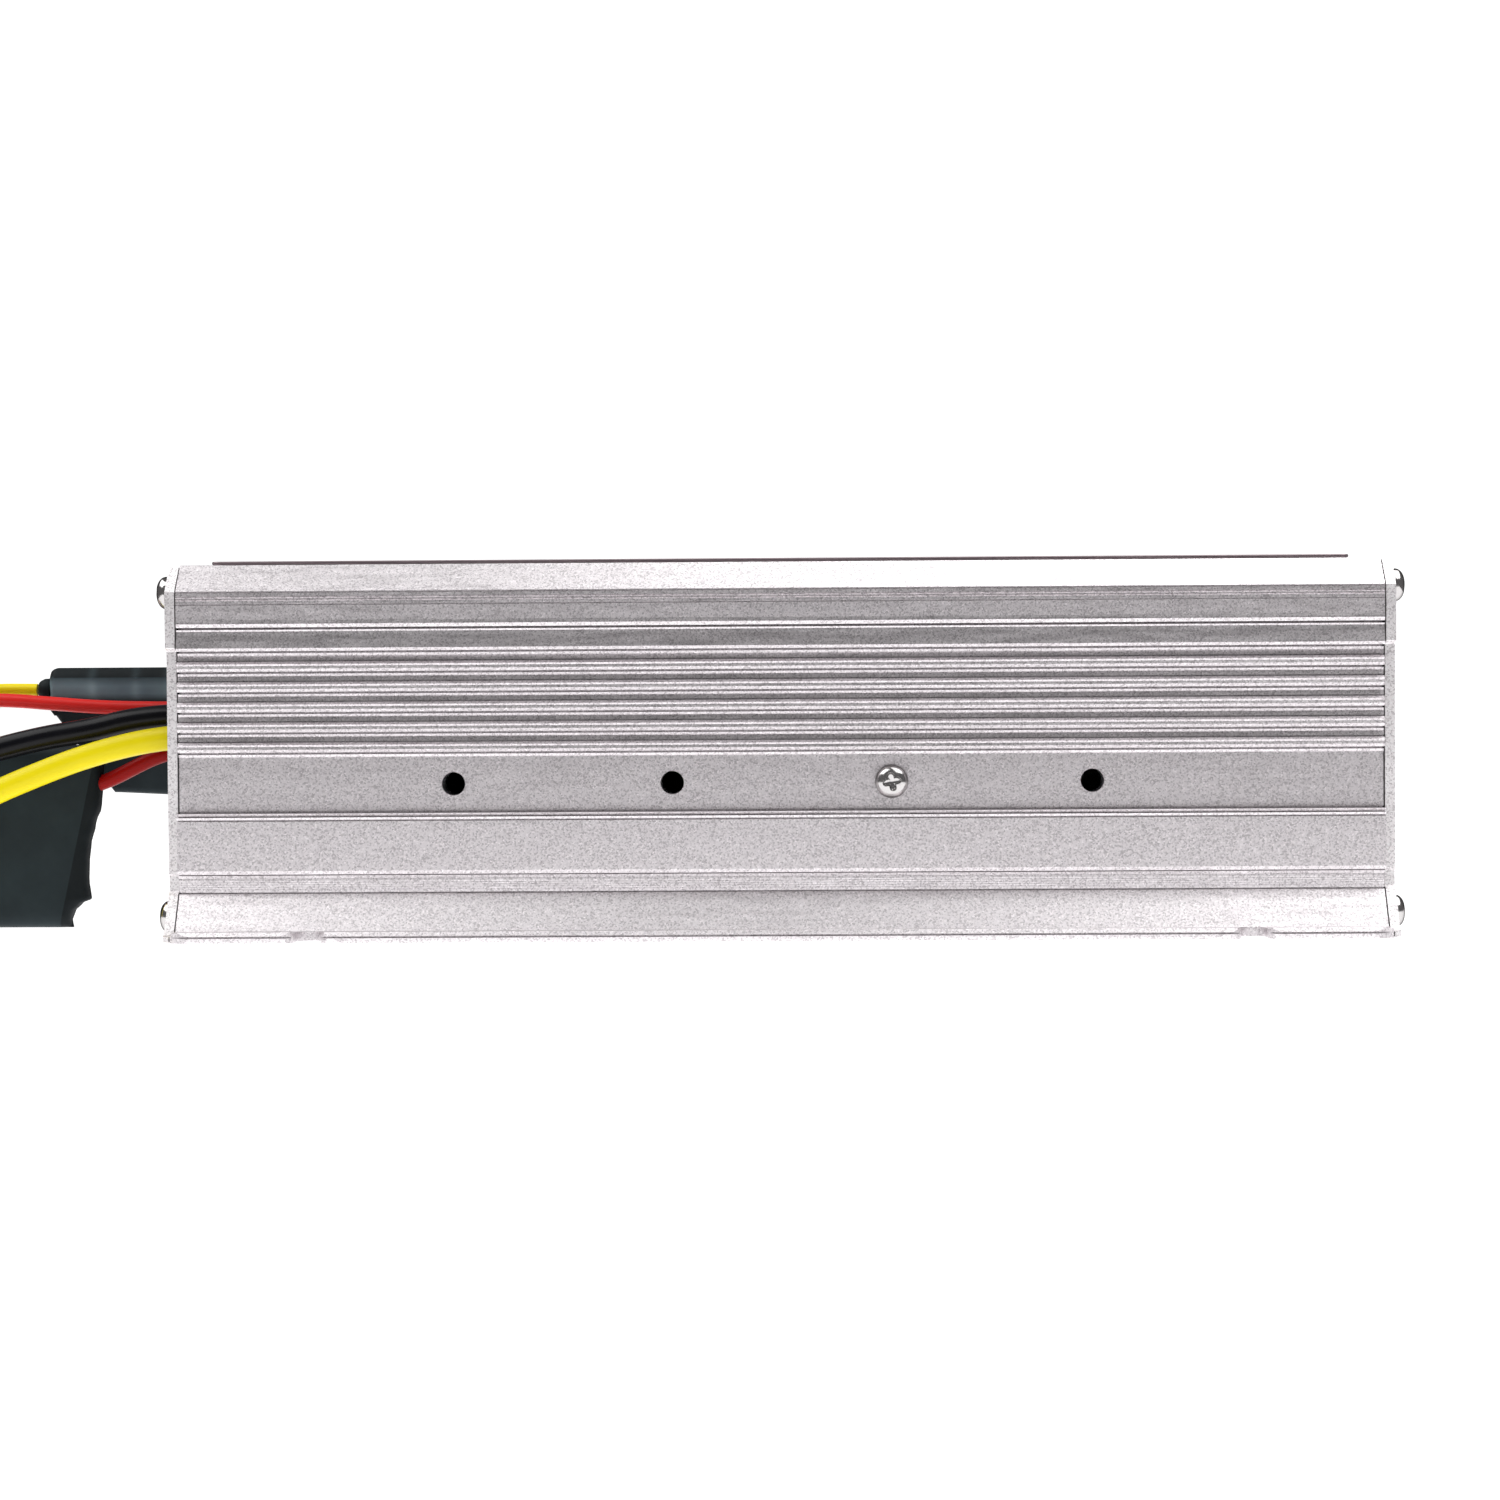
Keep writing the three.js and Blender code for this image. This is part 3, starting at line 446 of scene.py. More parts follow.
def combine(mesh, tool, operation):
    """Cuts a closed mesh with another, or joins the two, and returns the result."""
    base = bpy.data.objects.new("base", mesh)
    cutter = bpy.data.objects.new("cutter", tool)
    for helper in (base, cutter):
        bpy.context.scene.collection.objects.link(helper)
    modifier = base.modifiers.new("combine", "BOOLEAN")
    modifier.operation = operation
    modifier.solver = "EXACT"
    modifier.object = cutter
    graph = bpy.context.evaluated_depsgraph_get()
    result = bpy.data.meshes.new_from_object(base.evaluated_get(graph))
    for helper in (base, cutter):
        bpy.data.objects.remove(helper)
    return result


def smooth_by_angle(mesh, degrees):
    """Smooth shading, with each edge sharper than the angle kept sharp."""
    work = bmesh.new()
    work.from_mesh(mesh)
    for face in work.faces:
        face.smooth = True
    for edge in work.edges:
        if len(edge.link_faces) == 2:
            edge.smooth = edge.calc_face_angle(0) < math.radians(degrees)
    work.to_mesh(mesh)
    work.free()


def weight_normals(piece):
    modifier = piece.modifiers.new("weighted_normals", "WEIGHTED_NORMAL")
    modifier.keep_sharp = True
    modifier.weight = 80


def soften_edges(piece, width_mm, degrees=35):
    modifier = piece.modifiers.new("soft_edges", "BEVEL")
    modifier.width = width_mm * MM
    modifier.segments = 2
    modifier.limit_method = "ANGLE"
    modifier.angle_limit = math.radians(degrees)


def lathe(name, profile, sides=48):
    """A closed solid of revolution about Z from a profile of (radius, z) that ends on the axis."""
    vertices = []
    rings = []
    for radius, z in profile:
        start = len(vertices)
        if radius == 0:
            rings.append([start])
            vertices.append((0, 0, z))
        else:
            rings.append(list(range(start, start + sides)))
            vertices.extend((x, y, z) for x, y in circle(0, 0, radius, sides))
    faces = []
    for low, high in zip(rings, rings[1:]):
        for i in range(sides):
            j = (i + 1) % sides
            if len(low) == 1:
                faces.append((low[0], high[i], high[j]))
            elif len(high) == 1:
                faces.append((low[i], low[j], high[0]))
            else:
                faces.append((low[i], low[j], high[j], high[i]))
    return mesh_from(name, vertices, faces)


def pointing(axis):
    """The rotation that turns +Z to the axis."""
    return Vector(axis).to_track_quat("Z", "Y").to_matrix()


def turned_about_z(degrees):
    return Matrix.Rotation(math.radians(degrees), 3, "Z")


def place(mesh, rotation, offset_mm):
    mesh.transform(Matrix.Translation(Vector(offset_mm) * MM) @ rotation.to_4x4())
    return mesh


def paint_light_and_shadow(mesh, rule):
    """Stores painted light and shadow at each point: how much paler (above 0, a painted highlight) or darker
    (below 0, painted shadow) the film is drawn.
    """
    painted_light = mesh.attributes.new("painted_light", "FLOAT", "POINT")
    for vertex in mesh.vertices:
        painted_light.data[vertex.index].value = rule(*(vertex.co / MM))


# ------------ front sleeve

FRONT_SLEEVE_Y = -22
FRONT_SLEEVE_LEFT = -167
FRONT_SLEEVE_LOW = 0.2
FRONT_SLEEVE_HIGH = 33.2
FRONT_SLEEVE_HALF_DEPTH = 2.35

# The uneven edge next to the case, as (height, x).
FRONT_SLEEVE_EDGE = [
    (0.2, -128.2), (1.6, -128.4), (3.4, -127.7), (4.6, -126.4), (5.3, -124.9), (8.7, -125.3),
    (12.0, -125.2), (15.0, -124.9), (19.0, -124.0), (22.0, -122.9), (26.0, -122.6), (30.0, -122.4),
    (33.2, -122.8),
]


def interpolate(table, value):
    """Smoothly reads a value from a table of (position, value) rows in rising position."""
    if value <= table[0][0]:
        return table[0][1]
    for (p0, v0), (p1, v1) in zip(table, table[1:]):
        if value <= p1:
            t = (value - p0) / (p1 - p0)
            t = t * t * (3 - 2 * t)
            return v0 + (v1 - v0) * t
    return table[-1][1]


def front_sleeve_fold(z):
    """Where the crease stands that turns the sleeve's edge back."""
    return -130.3 + 0.215 * z


def front_sleeve_level(z, left, right, half):
    """The flat tube's section at one height: its front from left to right, then its back."""
    fold = front_sleeve_fold(z)
    end_rounding = 0.9
    steps = [fold - (fold - left) * (1 - step / 14) for step in range(1, 14)]
    xs = [left, left + 0.25, left + end_rounding, *steps, fold - 0.1, fold + 0.1]
    xs += [fold + (right - fold) * part for part in (0.35, 0.6, 0.8, 0.93)] + [right]
    xs.sort()
    points = []
    for face in (-1, 1):
        row = []
        for x in xs:
            to_end = min(x - left, right - x)
            roundness = math.sqrt(max(0, 1 - (1 - min(1, to_end / end_rounding)) ** 2))
            turned_back = 0.75 * max(0, x - fold) / max(0.5, right - fold) if face < 0 else 0
            wave = 0.12 * math.sin(0.35 * x + 0.21 * z) * math.sin(0.23 * z + 1)
            row.append((x, FRONT_SLEEVE_Y + face * half * max(roundness, 0.12) + turned_back + wave, z))
        points += row if face < 0 else row[::-1]
    return points


def front_sleeve_half_depth(z):
    """Half the tube's depth: full along most of its height and rounded off at the ends."""
    rounding = 2.2
    to_end = min(z - FRONT_SLEEVE_LOW, FRONT_SLEEVE_HIGH - z)
    part = (to_end + 0.02) / rounding * (2 - min(to_end, rounding) / rounding)
    return max(FRONT_SLEEVE_HALF_DEPTH * math.sqrt(min(1, part)), 0.25)


def make_front_sleeve():
    """A flattened tube standing on its edge: levels up its height, each a long flat oval."""
    heights = [0.2, 0.25, 0.45, 0.9, 1.6, 2.5, 3.4, 4.1, 4.7, 5.1, 5.35, 5.8, 6.8]
    heights += [8 + 1.1 * step for step in range(22)] + [31.9, 32.5, 32.9, 33.1, 33.2]
    levels = []
    for z in heights:
        right = interpolate(FRONT_SLEEVE_EDGE, z)
        left = FRONT_SLEEVE_LEFT + 0.6 * math.sin(z * 0.3)
        levels.append(front_sleeve_level(z, left, right, front_sleeve_half_depth(z)))
    mesh = loft("front_sleeve", levels)
    smooth_by_angle(mesh, 60)
    # Painted shadow: the turned-back strip beyond the crease is coloured darker.
    paint_light_and_shadow(mesh, lambda x, y, z: -0.6 if x > front_sleeve_fold(z) else 0.0)
    piece = new_piece("front_sleeve_look", mesh, "heat_shrink")
    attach(piece, "root")
    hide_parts("front_sleeve")
    return piece


front_sleeve = make_front_sleeve()


# ------------ leads

LEADS = {
    "lead_black": {
        "diameter": 4.3,
        "slot": "lead_black_pvc",
        "stiffness": "stiff",
        "route": [
            (-94.8, -28.8, 38.3), (-103, -28.8, 38.3), (-109, -28.9, 38.3), (-115.8, -29.2, 37.6),
            (-123, -29.6, 36), (-130.2, -30, 34.8), (-138.8, -30.6, 32.8), (-148, -31.4, 29.8),
            (-157, -32.2, 25.8), (-166, -32.4, 20.7), (-175, -32.2, 14.9), (-184, -31.8, 9.4),
            (-193, -31.2, 5.1), (-202, -30.6, 2.8), (-212, -30, 2.3), (-223, -29.6, 2.3), (-234, -29.4, 2.3),
        ],
    },
    "lead_yellow": {
        "diameter": 4.3,
        "slot": "lead_yellow_pvc",
        "stiffness": "stiff",
        "route": [
            (-94.8, -33, 34.6), (-103, -33, 34.6), (-108.5, -33, 34.5), (-115.2, -33.1, 33.4),
            (-122.4, -33.4, 31.5), (-129.5, -33.9, 29), (-138.2, -34.6, 25.4), (-147, -35.4, 21.1),
            (-156, -36.3, 16.2), (-165, -37.2, 11.3), (-174, -38.1, 7.1), (-183, -38.9, 4.1),
            (-192, -39.5, 2.6), (-202, -40, 2.3), (-213, -40.3, 2.3), (-224, -40.4, 2.3),
        ],
    },
    "lead_red": {
        "diameter": 2.5,
        "slot": "lead_red_pvc",
        "stiffness": "medium",
        "route": [
            (-94.8, -20, 39.7), (-104, -20, 39.7), (-111, -20, 39.7), (-118, -20, 39.8), (-125, -20, 40.1),
            (-132.5, -20, 40.7), (-141.2, -19.8, 41.3), (-150, -19.3, 41), (-159, -18.6, 39),
            (-168, -17.9, 34.7), (-176, -17.2, 28.5), (-183, -16.6, 21.3), (-190, -16.1, 13.7),
            (-197, -15.7, 7.2), (-205, -15.5, 2.8), (-214, -15.5, 1.4), (-225, -15.8, 1.4),
        ],
    },
    "lead_yellow_thin": {
        "diameter": 2.3,
        "slot": "lead_yellow_pvc",
        "stiffness": "medium",
        "route": [
            (-136.6, -12, 43.1), (-144, -12, 43.1), (-152, -11.7, 42.2), (-161, -11.1, 39.3),
            (-169, -10.5, 34.4), (-177, -9.9, 27.5), (-184, -9.4, 20.2), (-191, -9, 12.8), (-198, -8.8, 6.6),
            (-206, -8.7, 2.5), (-215, -8.8, 1.3), (-226, -9.2, 1.3),
        ],
    },
    "lead_red_short": {
        "diameter": 2.7,
        # The darker red here is painted shadow on the same red insulation.
        "slot": "lead_dark_red_pvc",
        "stiffness": "medium",
        "route": [
            (-94.8, -25, 32.4), (-101, -25, 32.4), (-107, -25, 32.3), (-110.8, -24.8, 31.4),
            (-113.8, -24.3, 30.3), (-117.2, -23.5, 28.7), (-120.4, -22.6, 27.2), (-123.8, -22, 26),
            (-128, -21.9, 25.4),
        ],
    },
}

SHORT_LEAD = "lead_red_short"  # it ends inside the front sleeve, the others in tinned strands
LEAD_POINTS = 34
SHORT_LEAD_POINTS = 16
BARE_LENGTH = 7.0
STRAND_TWIST_PITCH = 16


def smooth_route(route, count):
    """Points spread evenly along a smooth curve through the route's points, and the curve's length."""
    points = [Vector(p) for p in route]
    points = [2 * points[0] - points[1], *points, 2 * points[-1] - points[-2]]
    parts = 12
    dense = []
    for i in range(1, len(points) - 2):
        before, start, end, after = points[i - 1:i + 3]
        for part in range(parts):
            t = part / parts
            dense.append(0.5 * (
                2 * start
                + (end - before) * t
                + (2 * before - 5 * start + 4 * end - after) * t ** 2
                + (3 * start - before - 3 * end + after) * t ** 3
            ))
    dense.append(points[-2])
    lengths = [0.0]
    for a, b in zip(dense, dense[1:]):
        lengths.append(lengths[-1] + (b - a).length)
    spread = []
    index = 0
    for step in range(count):
        target = lengths[-1] * step / (count - 1)
        while index < len(lengths) - 2 and lengths[index + 1] < target:
            index += 1
        part = (target - lengths[index]) / (lengths[index + 1] - lengths[index])
        spread.append(dense[index].lerp(dense[index + 1], part))
    return spread, lengths[-1]


def strand_bundle(name, end, direction, lead_radius):
    """The tinned end: six strands twisted round a seventh."""
    strand_radius = lead_radius * 0.2
    ring_radius = strand_radius * 2.02
    sides = 8
    steps = 22
    side = direction.orthogonal().normalized()
    other = direction.cross(side)

    def around(centre, radius, angle):
        return centre + radius * (math.cos(angle) * side + math.sin(angle) * other)

    strands = []
    for strand in range(7):
        reach = 0 if strand == 6 else ring_radius
        rings = []
        for step in range(steps + 1):
            along = BARE_LENGTH * step / steps
            turn = 2 * math.pi * (strand / 6 + along / STRAND_TWIST_PITCH)
            centre = around(end + direction * (0.3 + along), reach, turn)
            rings.append([around(centre, strand_radius, 2 * math.pi * k / sides) for k in range(sides)])
        strands.append(loft("strand", rings))
    mesh = merged(name, strands)
    smooth_by_angle(mesh, 50)
    return new_piece(name, mesh, "tinned_copper")


def lead_piece(name, lead, points):
    """The insulation: a round curve through the points."""
    curve = bpy.data.curves.new(name, "CURVE")
    curve.dimensions = "3D"
    curve.bevel_depth = lead["diameter"] / 2 * MM
    curve.bevel_resolution = 6
    curve.resolution_u = 6
    curve.use_fill_caps = True
    spline = curve.splines.new("BEZIER")
    spline.bezier_points.add(len(points) - 1)
    for anchor, point in zip(spline.bezier_points, points):
        anchor.co = point * MM
        anchor.handle_left_type = "AUTO"
        anchor.handle_right_type = "AUTO"
    piece = bpy.data.objects.new(name, curve)
    bpy.context.scene.collection.objects.link(piece)
    curve.materials.append(MATERIALS[lead["slot"]])
    return piece


def make_tinned_end(node, lead, points):
    direction = (points[-1] - points[-2]).normalized()
    bundle = strand_bundle(node + "_look", points[-1], direction, lead["diameter"] / 2)
    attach(bundle, "root")
    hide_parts(node)
    return bundle


def make_lead(node, lead):
    count = SHORT_LEAD_POINTS if node == SHORT_LEAD else LEAD_POINTS
    points, length = smooth_route(lead["route"], count)
    piece = lead_piece(node + "_look", lead, points)
    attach(piece, "root")
    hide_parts(node)
    if node == SHORT_LEAD:
        end_piece = front_sleeve
    else:
        end_piece = make_tinned_end(node.replace("lead", "tinned_end"), lead, points)


for lead_node, lead_facts in LEADS.items():
    make_lead(lead_node, lead_facts)


# ------------ case extrusion

def groove(reach, low, high, floor):
    """A thin square groove cut back to floor, between two heights."""
    return [(reach, low, 0.03), (floor, low + 0.02, 0), (floor, high - 0.02, 0), (reach, high, 0.03)]


def flange_corners():
    """The flange with its raised edge and the line cut along it, and the slope up to the lower wall."""
    return [
        (11.25, 0.0, 0.05),
        (11.45, 0.4, 0.1),
        (11.5, 0.86, 0),
        (10.4, 0.88, 0),
        (10.4, 1.18, 0),
        (11.5, 1.2, 0),
        (10.95, 1.95, 0.1),
        (10.5, 1.6, 0.1),
        (5.3, 1.6, 0),
        (5.1, 1.45, 0),
        (4.9, 1.66, 0),
        (0.78, 7.7, 0.05),
        *groove(0.85, 7.74, 8.0, -0.2),
    ]


def lined_strip_corners():
    """The narrow strip between slope and lower wall: five fine lines and a small lip."""
    corners = []
    for line in range(5):
        z = 8.5 + 0.4 * line
        reach = 0.88 + 0.02 * line
        corners += [(reach, z, 0), (reach - 0.02, z + 0.06, 0), (reach, z + 0.12, 0)]
    return corners + [(0.94, 10.4, 0.02), (1.12, 10.92, 0.02)]


def lower_wall_corners():
    """A thin gap, the lower wall, and two lips that each have a thin gap above them."""
    return [
        (-0.2, 10.94, 0),
        (-0.2, 11.16, 0),
        (2.42, 11.18, 0.02),
        (2.6, 11.8, 0.06),
        *groove(2.6, 20.35, 20.6, 1.8),
        (2.6, 20.64, 0.02),
        (2.75, 21.02, 0.02),
        (1.5, 21.04, 0),
        (1.5, 21.22, 0),
        (2.2, 21.24, 0.02),
        (2.4, 21.66, 0.02),
        (-0.4, 21.7, 0),
        (-0.4, 21.98, 0),
    ]


def fin_corners(z):
    """The lip and gap below a fin that starts at height z, then the fin, and the gap above it."""
    return [
        (0.2, z - 0.78, 0.02),
        (0.38, z - 0.36, 0.02),
        (-0.8, z - 0.34, 0),
        (-0.8, z - 0.02, 0),
        (1.1, z, 0.02),
        (1.45, z + 0.5, 0.04),
        (1.26, z + 0.98, 0.02),
        (1.46, z + 1.3, 0.03),
        (0.95, z + 1.7, 0.04),
        (0.5, z + 1.76, 0.02),
        (-0.2, z + 1.78, 0),
        (-0.2, z + 1.92, 0),
        (0.45, z + 1.94, 0),
    ]


def cove_corners():
    """The shallow hollow band above the fins, up to the seam groove."""
    return [
        (0.2, 48.96, 0.02),
        (0.38, 49.4, 0.02),
        (-0.8, 49.42, 0),
        (-0.8, 49.72, 0),
        (1.55, 49.74, 0.02),
        (1.9, 50.25, 0.04),
        (1.7, 51.0, 1.0),
        (1.35, 52.3, 2.0),
        (1.3, 53.14, 0.02),
        (1.5, 53.44, 0.02),
        (-0.6, 53.46, 0),
        (-0.6, 53.8, 0),
    ]


def upper_wall_corners():
    """The upper wall with its fine lines, and the bevel up to the top."""
    corners = [
        (1.5, 53.82, 0.02),
        (1.86, 54.42, 0.1),
        (1.84, 54.7, 0.15),
        (1.72, 55.1, 0.1),
        *groove(1.8, 57.66, 57.88, 1.4),
    ]
    for z in (58.42, 58.88):
        corners += [(1.8, z, 0), (1.6, z + 0.2, 0), (1.8, z + 0.26, 0)]
    corners += groove(1.8, 59.78, 60.0, 1.4)
    return corners + [(1.8, 60.1, 0.05), (-2.8, CASE_HEIGHT, 0.2)]


def side_corners():
    """One side of the case outline from the flange up: (reach past the wall, height, radius)."""
    corners = flange_corners() + lined_strip_corners() + lower_wall_corners()
    corners += [(0.0, 22.0, 0.03), (-0.12, 31.35, 0.02)]
    for fin in range(FIN_COUNT):
        corners += fin_corners(FIRST_FIN_Z + FIN_PITCH * fin)
    return corners + cove_corners() + upper_wall_corners()


def both_sides(corners, wall, segments):
    """A closed outline from the corners of its +Y half, which are (reach past the wall, z, radius)."""
    front = [(-wall - reach, z, radius) for reach, z, radius in reversed(corners)]
    back = [(wall + reach, z, radius) for reach, z, radius in corners]
    return rounded(front + back, segments)


def inner_corners():
    """Half of the hollow from the floor up: a screw boss, the rail that holds the board, a boss."""
    return [
        (38.4, 3.2, 0.6),
        (38.4, 7.4, 0.6),
        (INNER_Y, 7.4, 0.4),
        (INNER_Y, 12.5, 0.1),
        (INNER_Y + 1, 12.5, 0.1),
        (INNER_Y + 1, 14.7, 0.1),
        (INNER_Y, 14.7, 0.1),
        (INNER_Y, 56.2, 0.4),
        (38.4, 56.2, 0.6),
        (38.4, 61.4, 0.6),
    ]


def slot_outline(x, side):
    """A flange slot in plan: round end, straight sides, rounded mouth."""
    edge = WALL_Y + FLANGE_REACH
    round_end = edge - SLOT_DEPTH + SLOT_RADIUS
    mouth = SLOT_RADIUS + SLOT_MOUTH_RADIUS
    mouth_start = edge - SLOT_MOUTH_RADIUS
    half = [(SLOT_RADIUS * math.sin(a), round_end - SLOT_RADIUS * math.cos(a)) for a in quarter_turn(8)]
    half += [(mouth - SLOT_MOUTH_RADIUS * math.cos(a), mouth_start + SLOT_MOUTH_RADIUS * math.sin(a))
             for a in quarter_turn(5)]
    half.append((mouth, edge + 1))
    mirrored = [(-a, b) for a, b in reversed(half[1:])]
    return [(x + a, side * b) for a, b in mirrored + half]


def corner_outline(end, side):
    """What rounds one corner of the flange, and of an end plate's foot, in plan."""
    radius = FLANGE_CORNER_RADIUS
    edge = WALL_Y + FLANGE_REACH
    arc = [(OUTER_X - radius + radius * math.sin(a), edge - radius + radius * math.cos(a))
           for a in quarter_turn(12)]
    arc += [(OUTER_X + 1, edge - radius), (OUTER_X + 1, edge + 1), (OUTER_X - radius, edge + 1)]
    return [(end * a, side * b) for a, b in arc]


def foot_cutter(name, outline):
    """Cuts the outline out of the flange and the lowest part of the slope above it."""
    return prism(name, outline, "z", -1, 3.1)


def corner_cutters(ends):
    return [foot_cutter("corner", corner_outline(end, side)) for end in ends for side in (-1, 1)]


def hole_cutters(side):
    """The four wall holes of one side: a small bright rim, a thin lip and a wider bore behind it."""
    profile = [
        (0, -0.6),
        (HOLE_RADIUS + 0.62, -0.6),
        (HOLE_RADIUS, 0.14),
        (HOLE_RADIUS, 0.7),
        (HOLE_RADIUS + 0.9, 0.9),
        (HOLE_RADIUS + 0.9, 3.9),
        (0, 3.9),
    ]
    inward = pointing((0, -side, 0))
    return [place(lathe("hole", profile, 40), inward, (x, side * WALL_Y, HOLE_Z)) for x in HOLE_XS]


def end_screw_cutters(name, radius, sides, low, high):
    """Four cylinders along x, where the screws of an end are."""
    return [prism(name, circle(side * END_SCREW_Y, z, radius, sides), "x", low, high)
            for side in (-1, 1) for z in END_SCREW_ZS.values()]


def make_case():
    body = prism("case", both_sides(side_corners(), WALL_Y, 3), "x", -END_X, END_X)
    hollow = prism("hollow", both_sides(inner_corners(), 0, 2), "x", -END_X - 5, END_X + 5)
    body = combine(body, hollow, "DIFFERENCE")
    cutters = corner_cutters((-1, 1))
    for side in (-1, 1):
        cutters += [foot_cutter("slot", slot_outline(x, side)) for x in (-SLOT_X, SLOT_X)]
        cutters += hole_cutters(side)
    body = combine(body, merged("cutters", cutters), "DIFFERENCE")
    channels = end_screw_cutters("channel", CHANNEL_RADIUS, 20, -END_X - 1, END_X + 1)
    body = combine(body, merged("channels", channels), "DIFFERENCE")
    smooth_by_angle(body, 28)
    piece = new_piece("housing_extrusion_look", body, "case_aluminium")
    weight_normals(piece)
    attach(piece, "root")
    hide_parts("housing_extrusion")


make_case()


# ------------ ends

PORT_YS = (-37.5, -7.5)
PORT_ZS = (21.5, 48.5)
PORT_RADIUS = 4
GROMMET_FIT = 0.3
GROMMET_LIP = 1.2
LEAD_CLEARANCE = 0.25


def end_corners():
    """One side of an end plate's outline from the foot up: (reach past the wall, height, radius)."""
    return [
        (9.6, 0.05, 0.1),
        (9.6, 1.0, 0.1),
        (5.5, 1.0, 0.1),
        (5.0, 1.4, 0.1),
        (0.7, 7.6, 0.2),
        (0.1, 8.0, 0.1),
        (-0.3, 8.3, 0.2),
        (-0.3, 10.9, 0.2),
        (0.2, 11.2, 0.2),
        (0.2, 49.9, 0.2),
        (1.6, 50.3, 0.2),
        (1.6, 60.0, 0.4),
        (-2.8, CASE_HEIGHT - 0.35, 0.4),
    ]


def port_outline(grow):
    """The cable port in the left end plate, grown on every side."""
    low_y, high_y = PORT_YS
    low_z, high_z = PORT_ZS
    return rounded_rectangle(
        low_y - grow, high_y + grow, low_z - grow, high_z + grow, PORT_RADIUS + grow, 8,
    )


def make_end_plate(end, node):
    low, high = sorted((end * PLATE_X, end * OUTER_X))
    plate = prism(node, both_sides(end_corners(), WALL_Y, 3), "x", low, high)
    cutters = end_screw_cutters("hole", PLATE_HOLE_RADIUS, 24, low - 1, high + 1)
    cutters += corner_cutters((end,))
    if end < 0:
        cutters.append(prism("port", port_outline(0), "x", low - 1, high + 1))
    plate = combine(plate, merged("cutters", cutters), "DIFFERENCE")
    smooth_by_angle(plate, 32)
    piece = new_piece(node + "_look", plate, "plate_aluminium")
    soften_edges(piece, 0.18)
    weight_normals(piece)
    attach(piece, "root")
    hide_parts(node)


make_end_plate(-1, "left_end_plate")
make_end_plate(1, "right_end_plate")


def make_grommet():
    """A rubber plug in the port with a lip outside the plate and a hole for each of four leads."""
    plug = prism("plug", port_outline(-GROMMET_FIT), "x", GROMMET_FACE_X, -END_X + 3)
    lip = prism("lip", port_outline(GROMMET_LIP), "x", GROMMET_FACE_X, -OUTER_X - 0.1)
    body = combine(plug, lip, "UNION")
    outside = -110
    inside = -END_X + 4
    holes = []
    for node in ("lead_black", "lead_yellow", "lead_red", "lead_red_short"):
        _, y, z = LEADS[node]["route"][0]
        radius = LEADS[node]["diameter"] / 2 + LEAD_CLEARANCE
        holes.append(prism("hole", circle(y, z, radius, 24), "x", outside, inside))
    body = combine(body, merged("holes", holes), "DIFFERENCE")
    smooth_by_angle(body, 40)
    piece = new_piece("cable_grommet_look", body, "grommet_rubber")
    soften_edges(piece, 0.25)
    weight_normals(piece)
    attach(piece, "root")
    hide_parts("cable_grommet")


make_grommet()


# ------------ screws

HEAD_RADIUS = 2.85
HEAD_HEIGHT = 2.15
SHANK_RADIUS = 1.35
END_SCREW_SHANK = 9
CLAMP_SCREW_SHANK = 6.6
CLAMP_SCREW_TURN = 12
SCREW_GAP = 0.1  # between a head and the face under it


def recess_arm(top, bottom, turn):
    """One arm of a cross recess: a round-ended slot that narrows as it goes down to a blunt point."""
    rings = []
    for z, half_length, half_width in ((bottom, 1.3, 0.46), (top, 2.1, 0.7)):
        ends = [(half_length - half_width + half_width * math.cos(a), half_width * math.sin(a))
                for a in (math.pi * (k / 6 - 0.5) for k in range(7))]
        rings.append([(x, y, z) for x, y in ends] + [(-x, -y, z) for x, y in ends])
    count = len(rings[0])
    point = 2 * count
    faces = [tuple(range(count, 2 * count))]
    for i in range(count):
        j = (i + 1) % count
        faces.append((i, j, count + j, count + i))
        faces.append((i, j, point))
    arm = mesh_from("arm", [*rings[0], *rings[1], (0, 0, bottom - 0.3)], faces)
    return place(arm, turned_about_z(turn), (0, 0, 0))


def pan_screw_mesh(shank_length):
    """Pan-head screw along +Z with its head's underside at z = 0 and a cross recess."""
    flat_radius = 0.7
    rim_height = 0.55
    dome_reach = HEAD_RADIUS - flat_radius
    dome_rise = HEAD_HEIGHT - rim_height
    profile = [
        (0, -shank_length),
        (SHANK_RADIUS - 0.25, -shank_length),
        (SHANK_RADIUS, -shank_length + 0.3),
        (SHANK_RADIUS, 0),
        (HEAD_RADIUS - 0.12, 0),
        (HEAD_RADIUS, 0.12),
    ]
    profile += [(flat_radius + dome_reach * math.cos(a), rim_height + dome_rise * math.sin(a))
                for a in quarter_turn(11)]
    profile.append((0, HEAD_HEIGHT + 0.03))
    head = lathe("screw", profile)
    arms = [recess_arm(HEAD_HEIGHT + 0.4, HEAD_HEIGHT - 0.6, turn) for turn in (0, 90)]
    cross = combine(arms[0], arms[1], "UNION")
    mesh = combine(head, cross, "DIFFERENCE")
    smooth_by_angle(mesh, 30)
    return mesh


def make_screw(node, shank_length, axis, offset, turn):
    """A screw whose head points along axis, turned about itself by turn degrees."""
    mesh = pan_screw_mesh(shank_length)
    place(mesh, pointing(axis) @ turned_about_z(turn), offset)
    piece = new_piece(node + "_look", mesh, "screw_steel")
    soften_edges(piece, 0.06, degrees=40)
    weight_normals(piece)
    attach(piece, "root")
    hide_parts(node)


def make_end_screws():
    for end, end_name in ((-1, "left"), (1, "right")):
        for side, side_name in ((-1, "front"), (1, "back")):
            for level, z in END_SCREW_ZS.items():
                node = f"end_screw_{end_name}_{side_name}_{level}"
                offset = (end * (OUTER_X + SCREW_GAP), side * END_SCREW_Y, z)
                make_screw(node, END_SCREW_SHANK, (end, 0, 0), offset, random.uniform(0, 90))


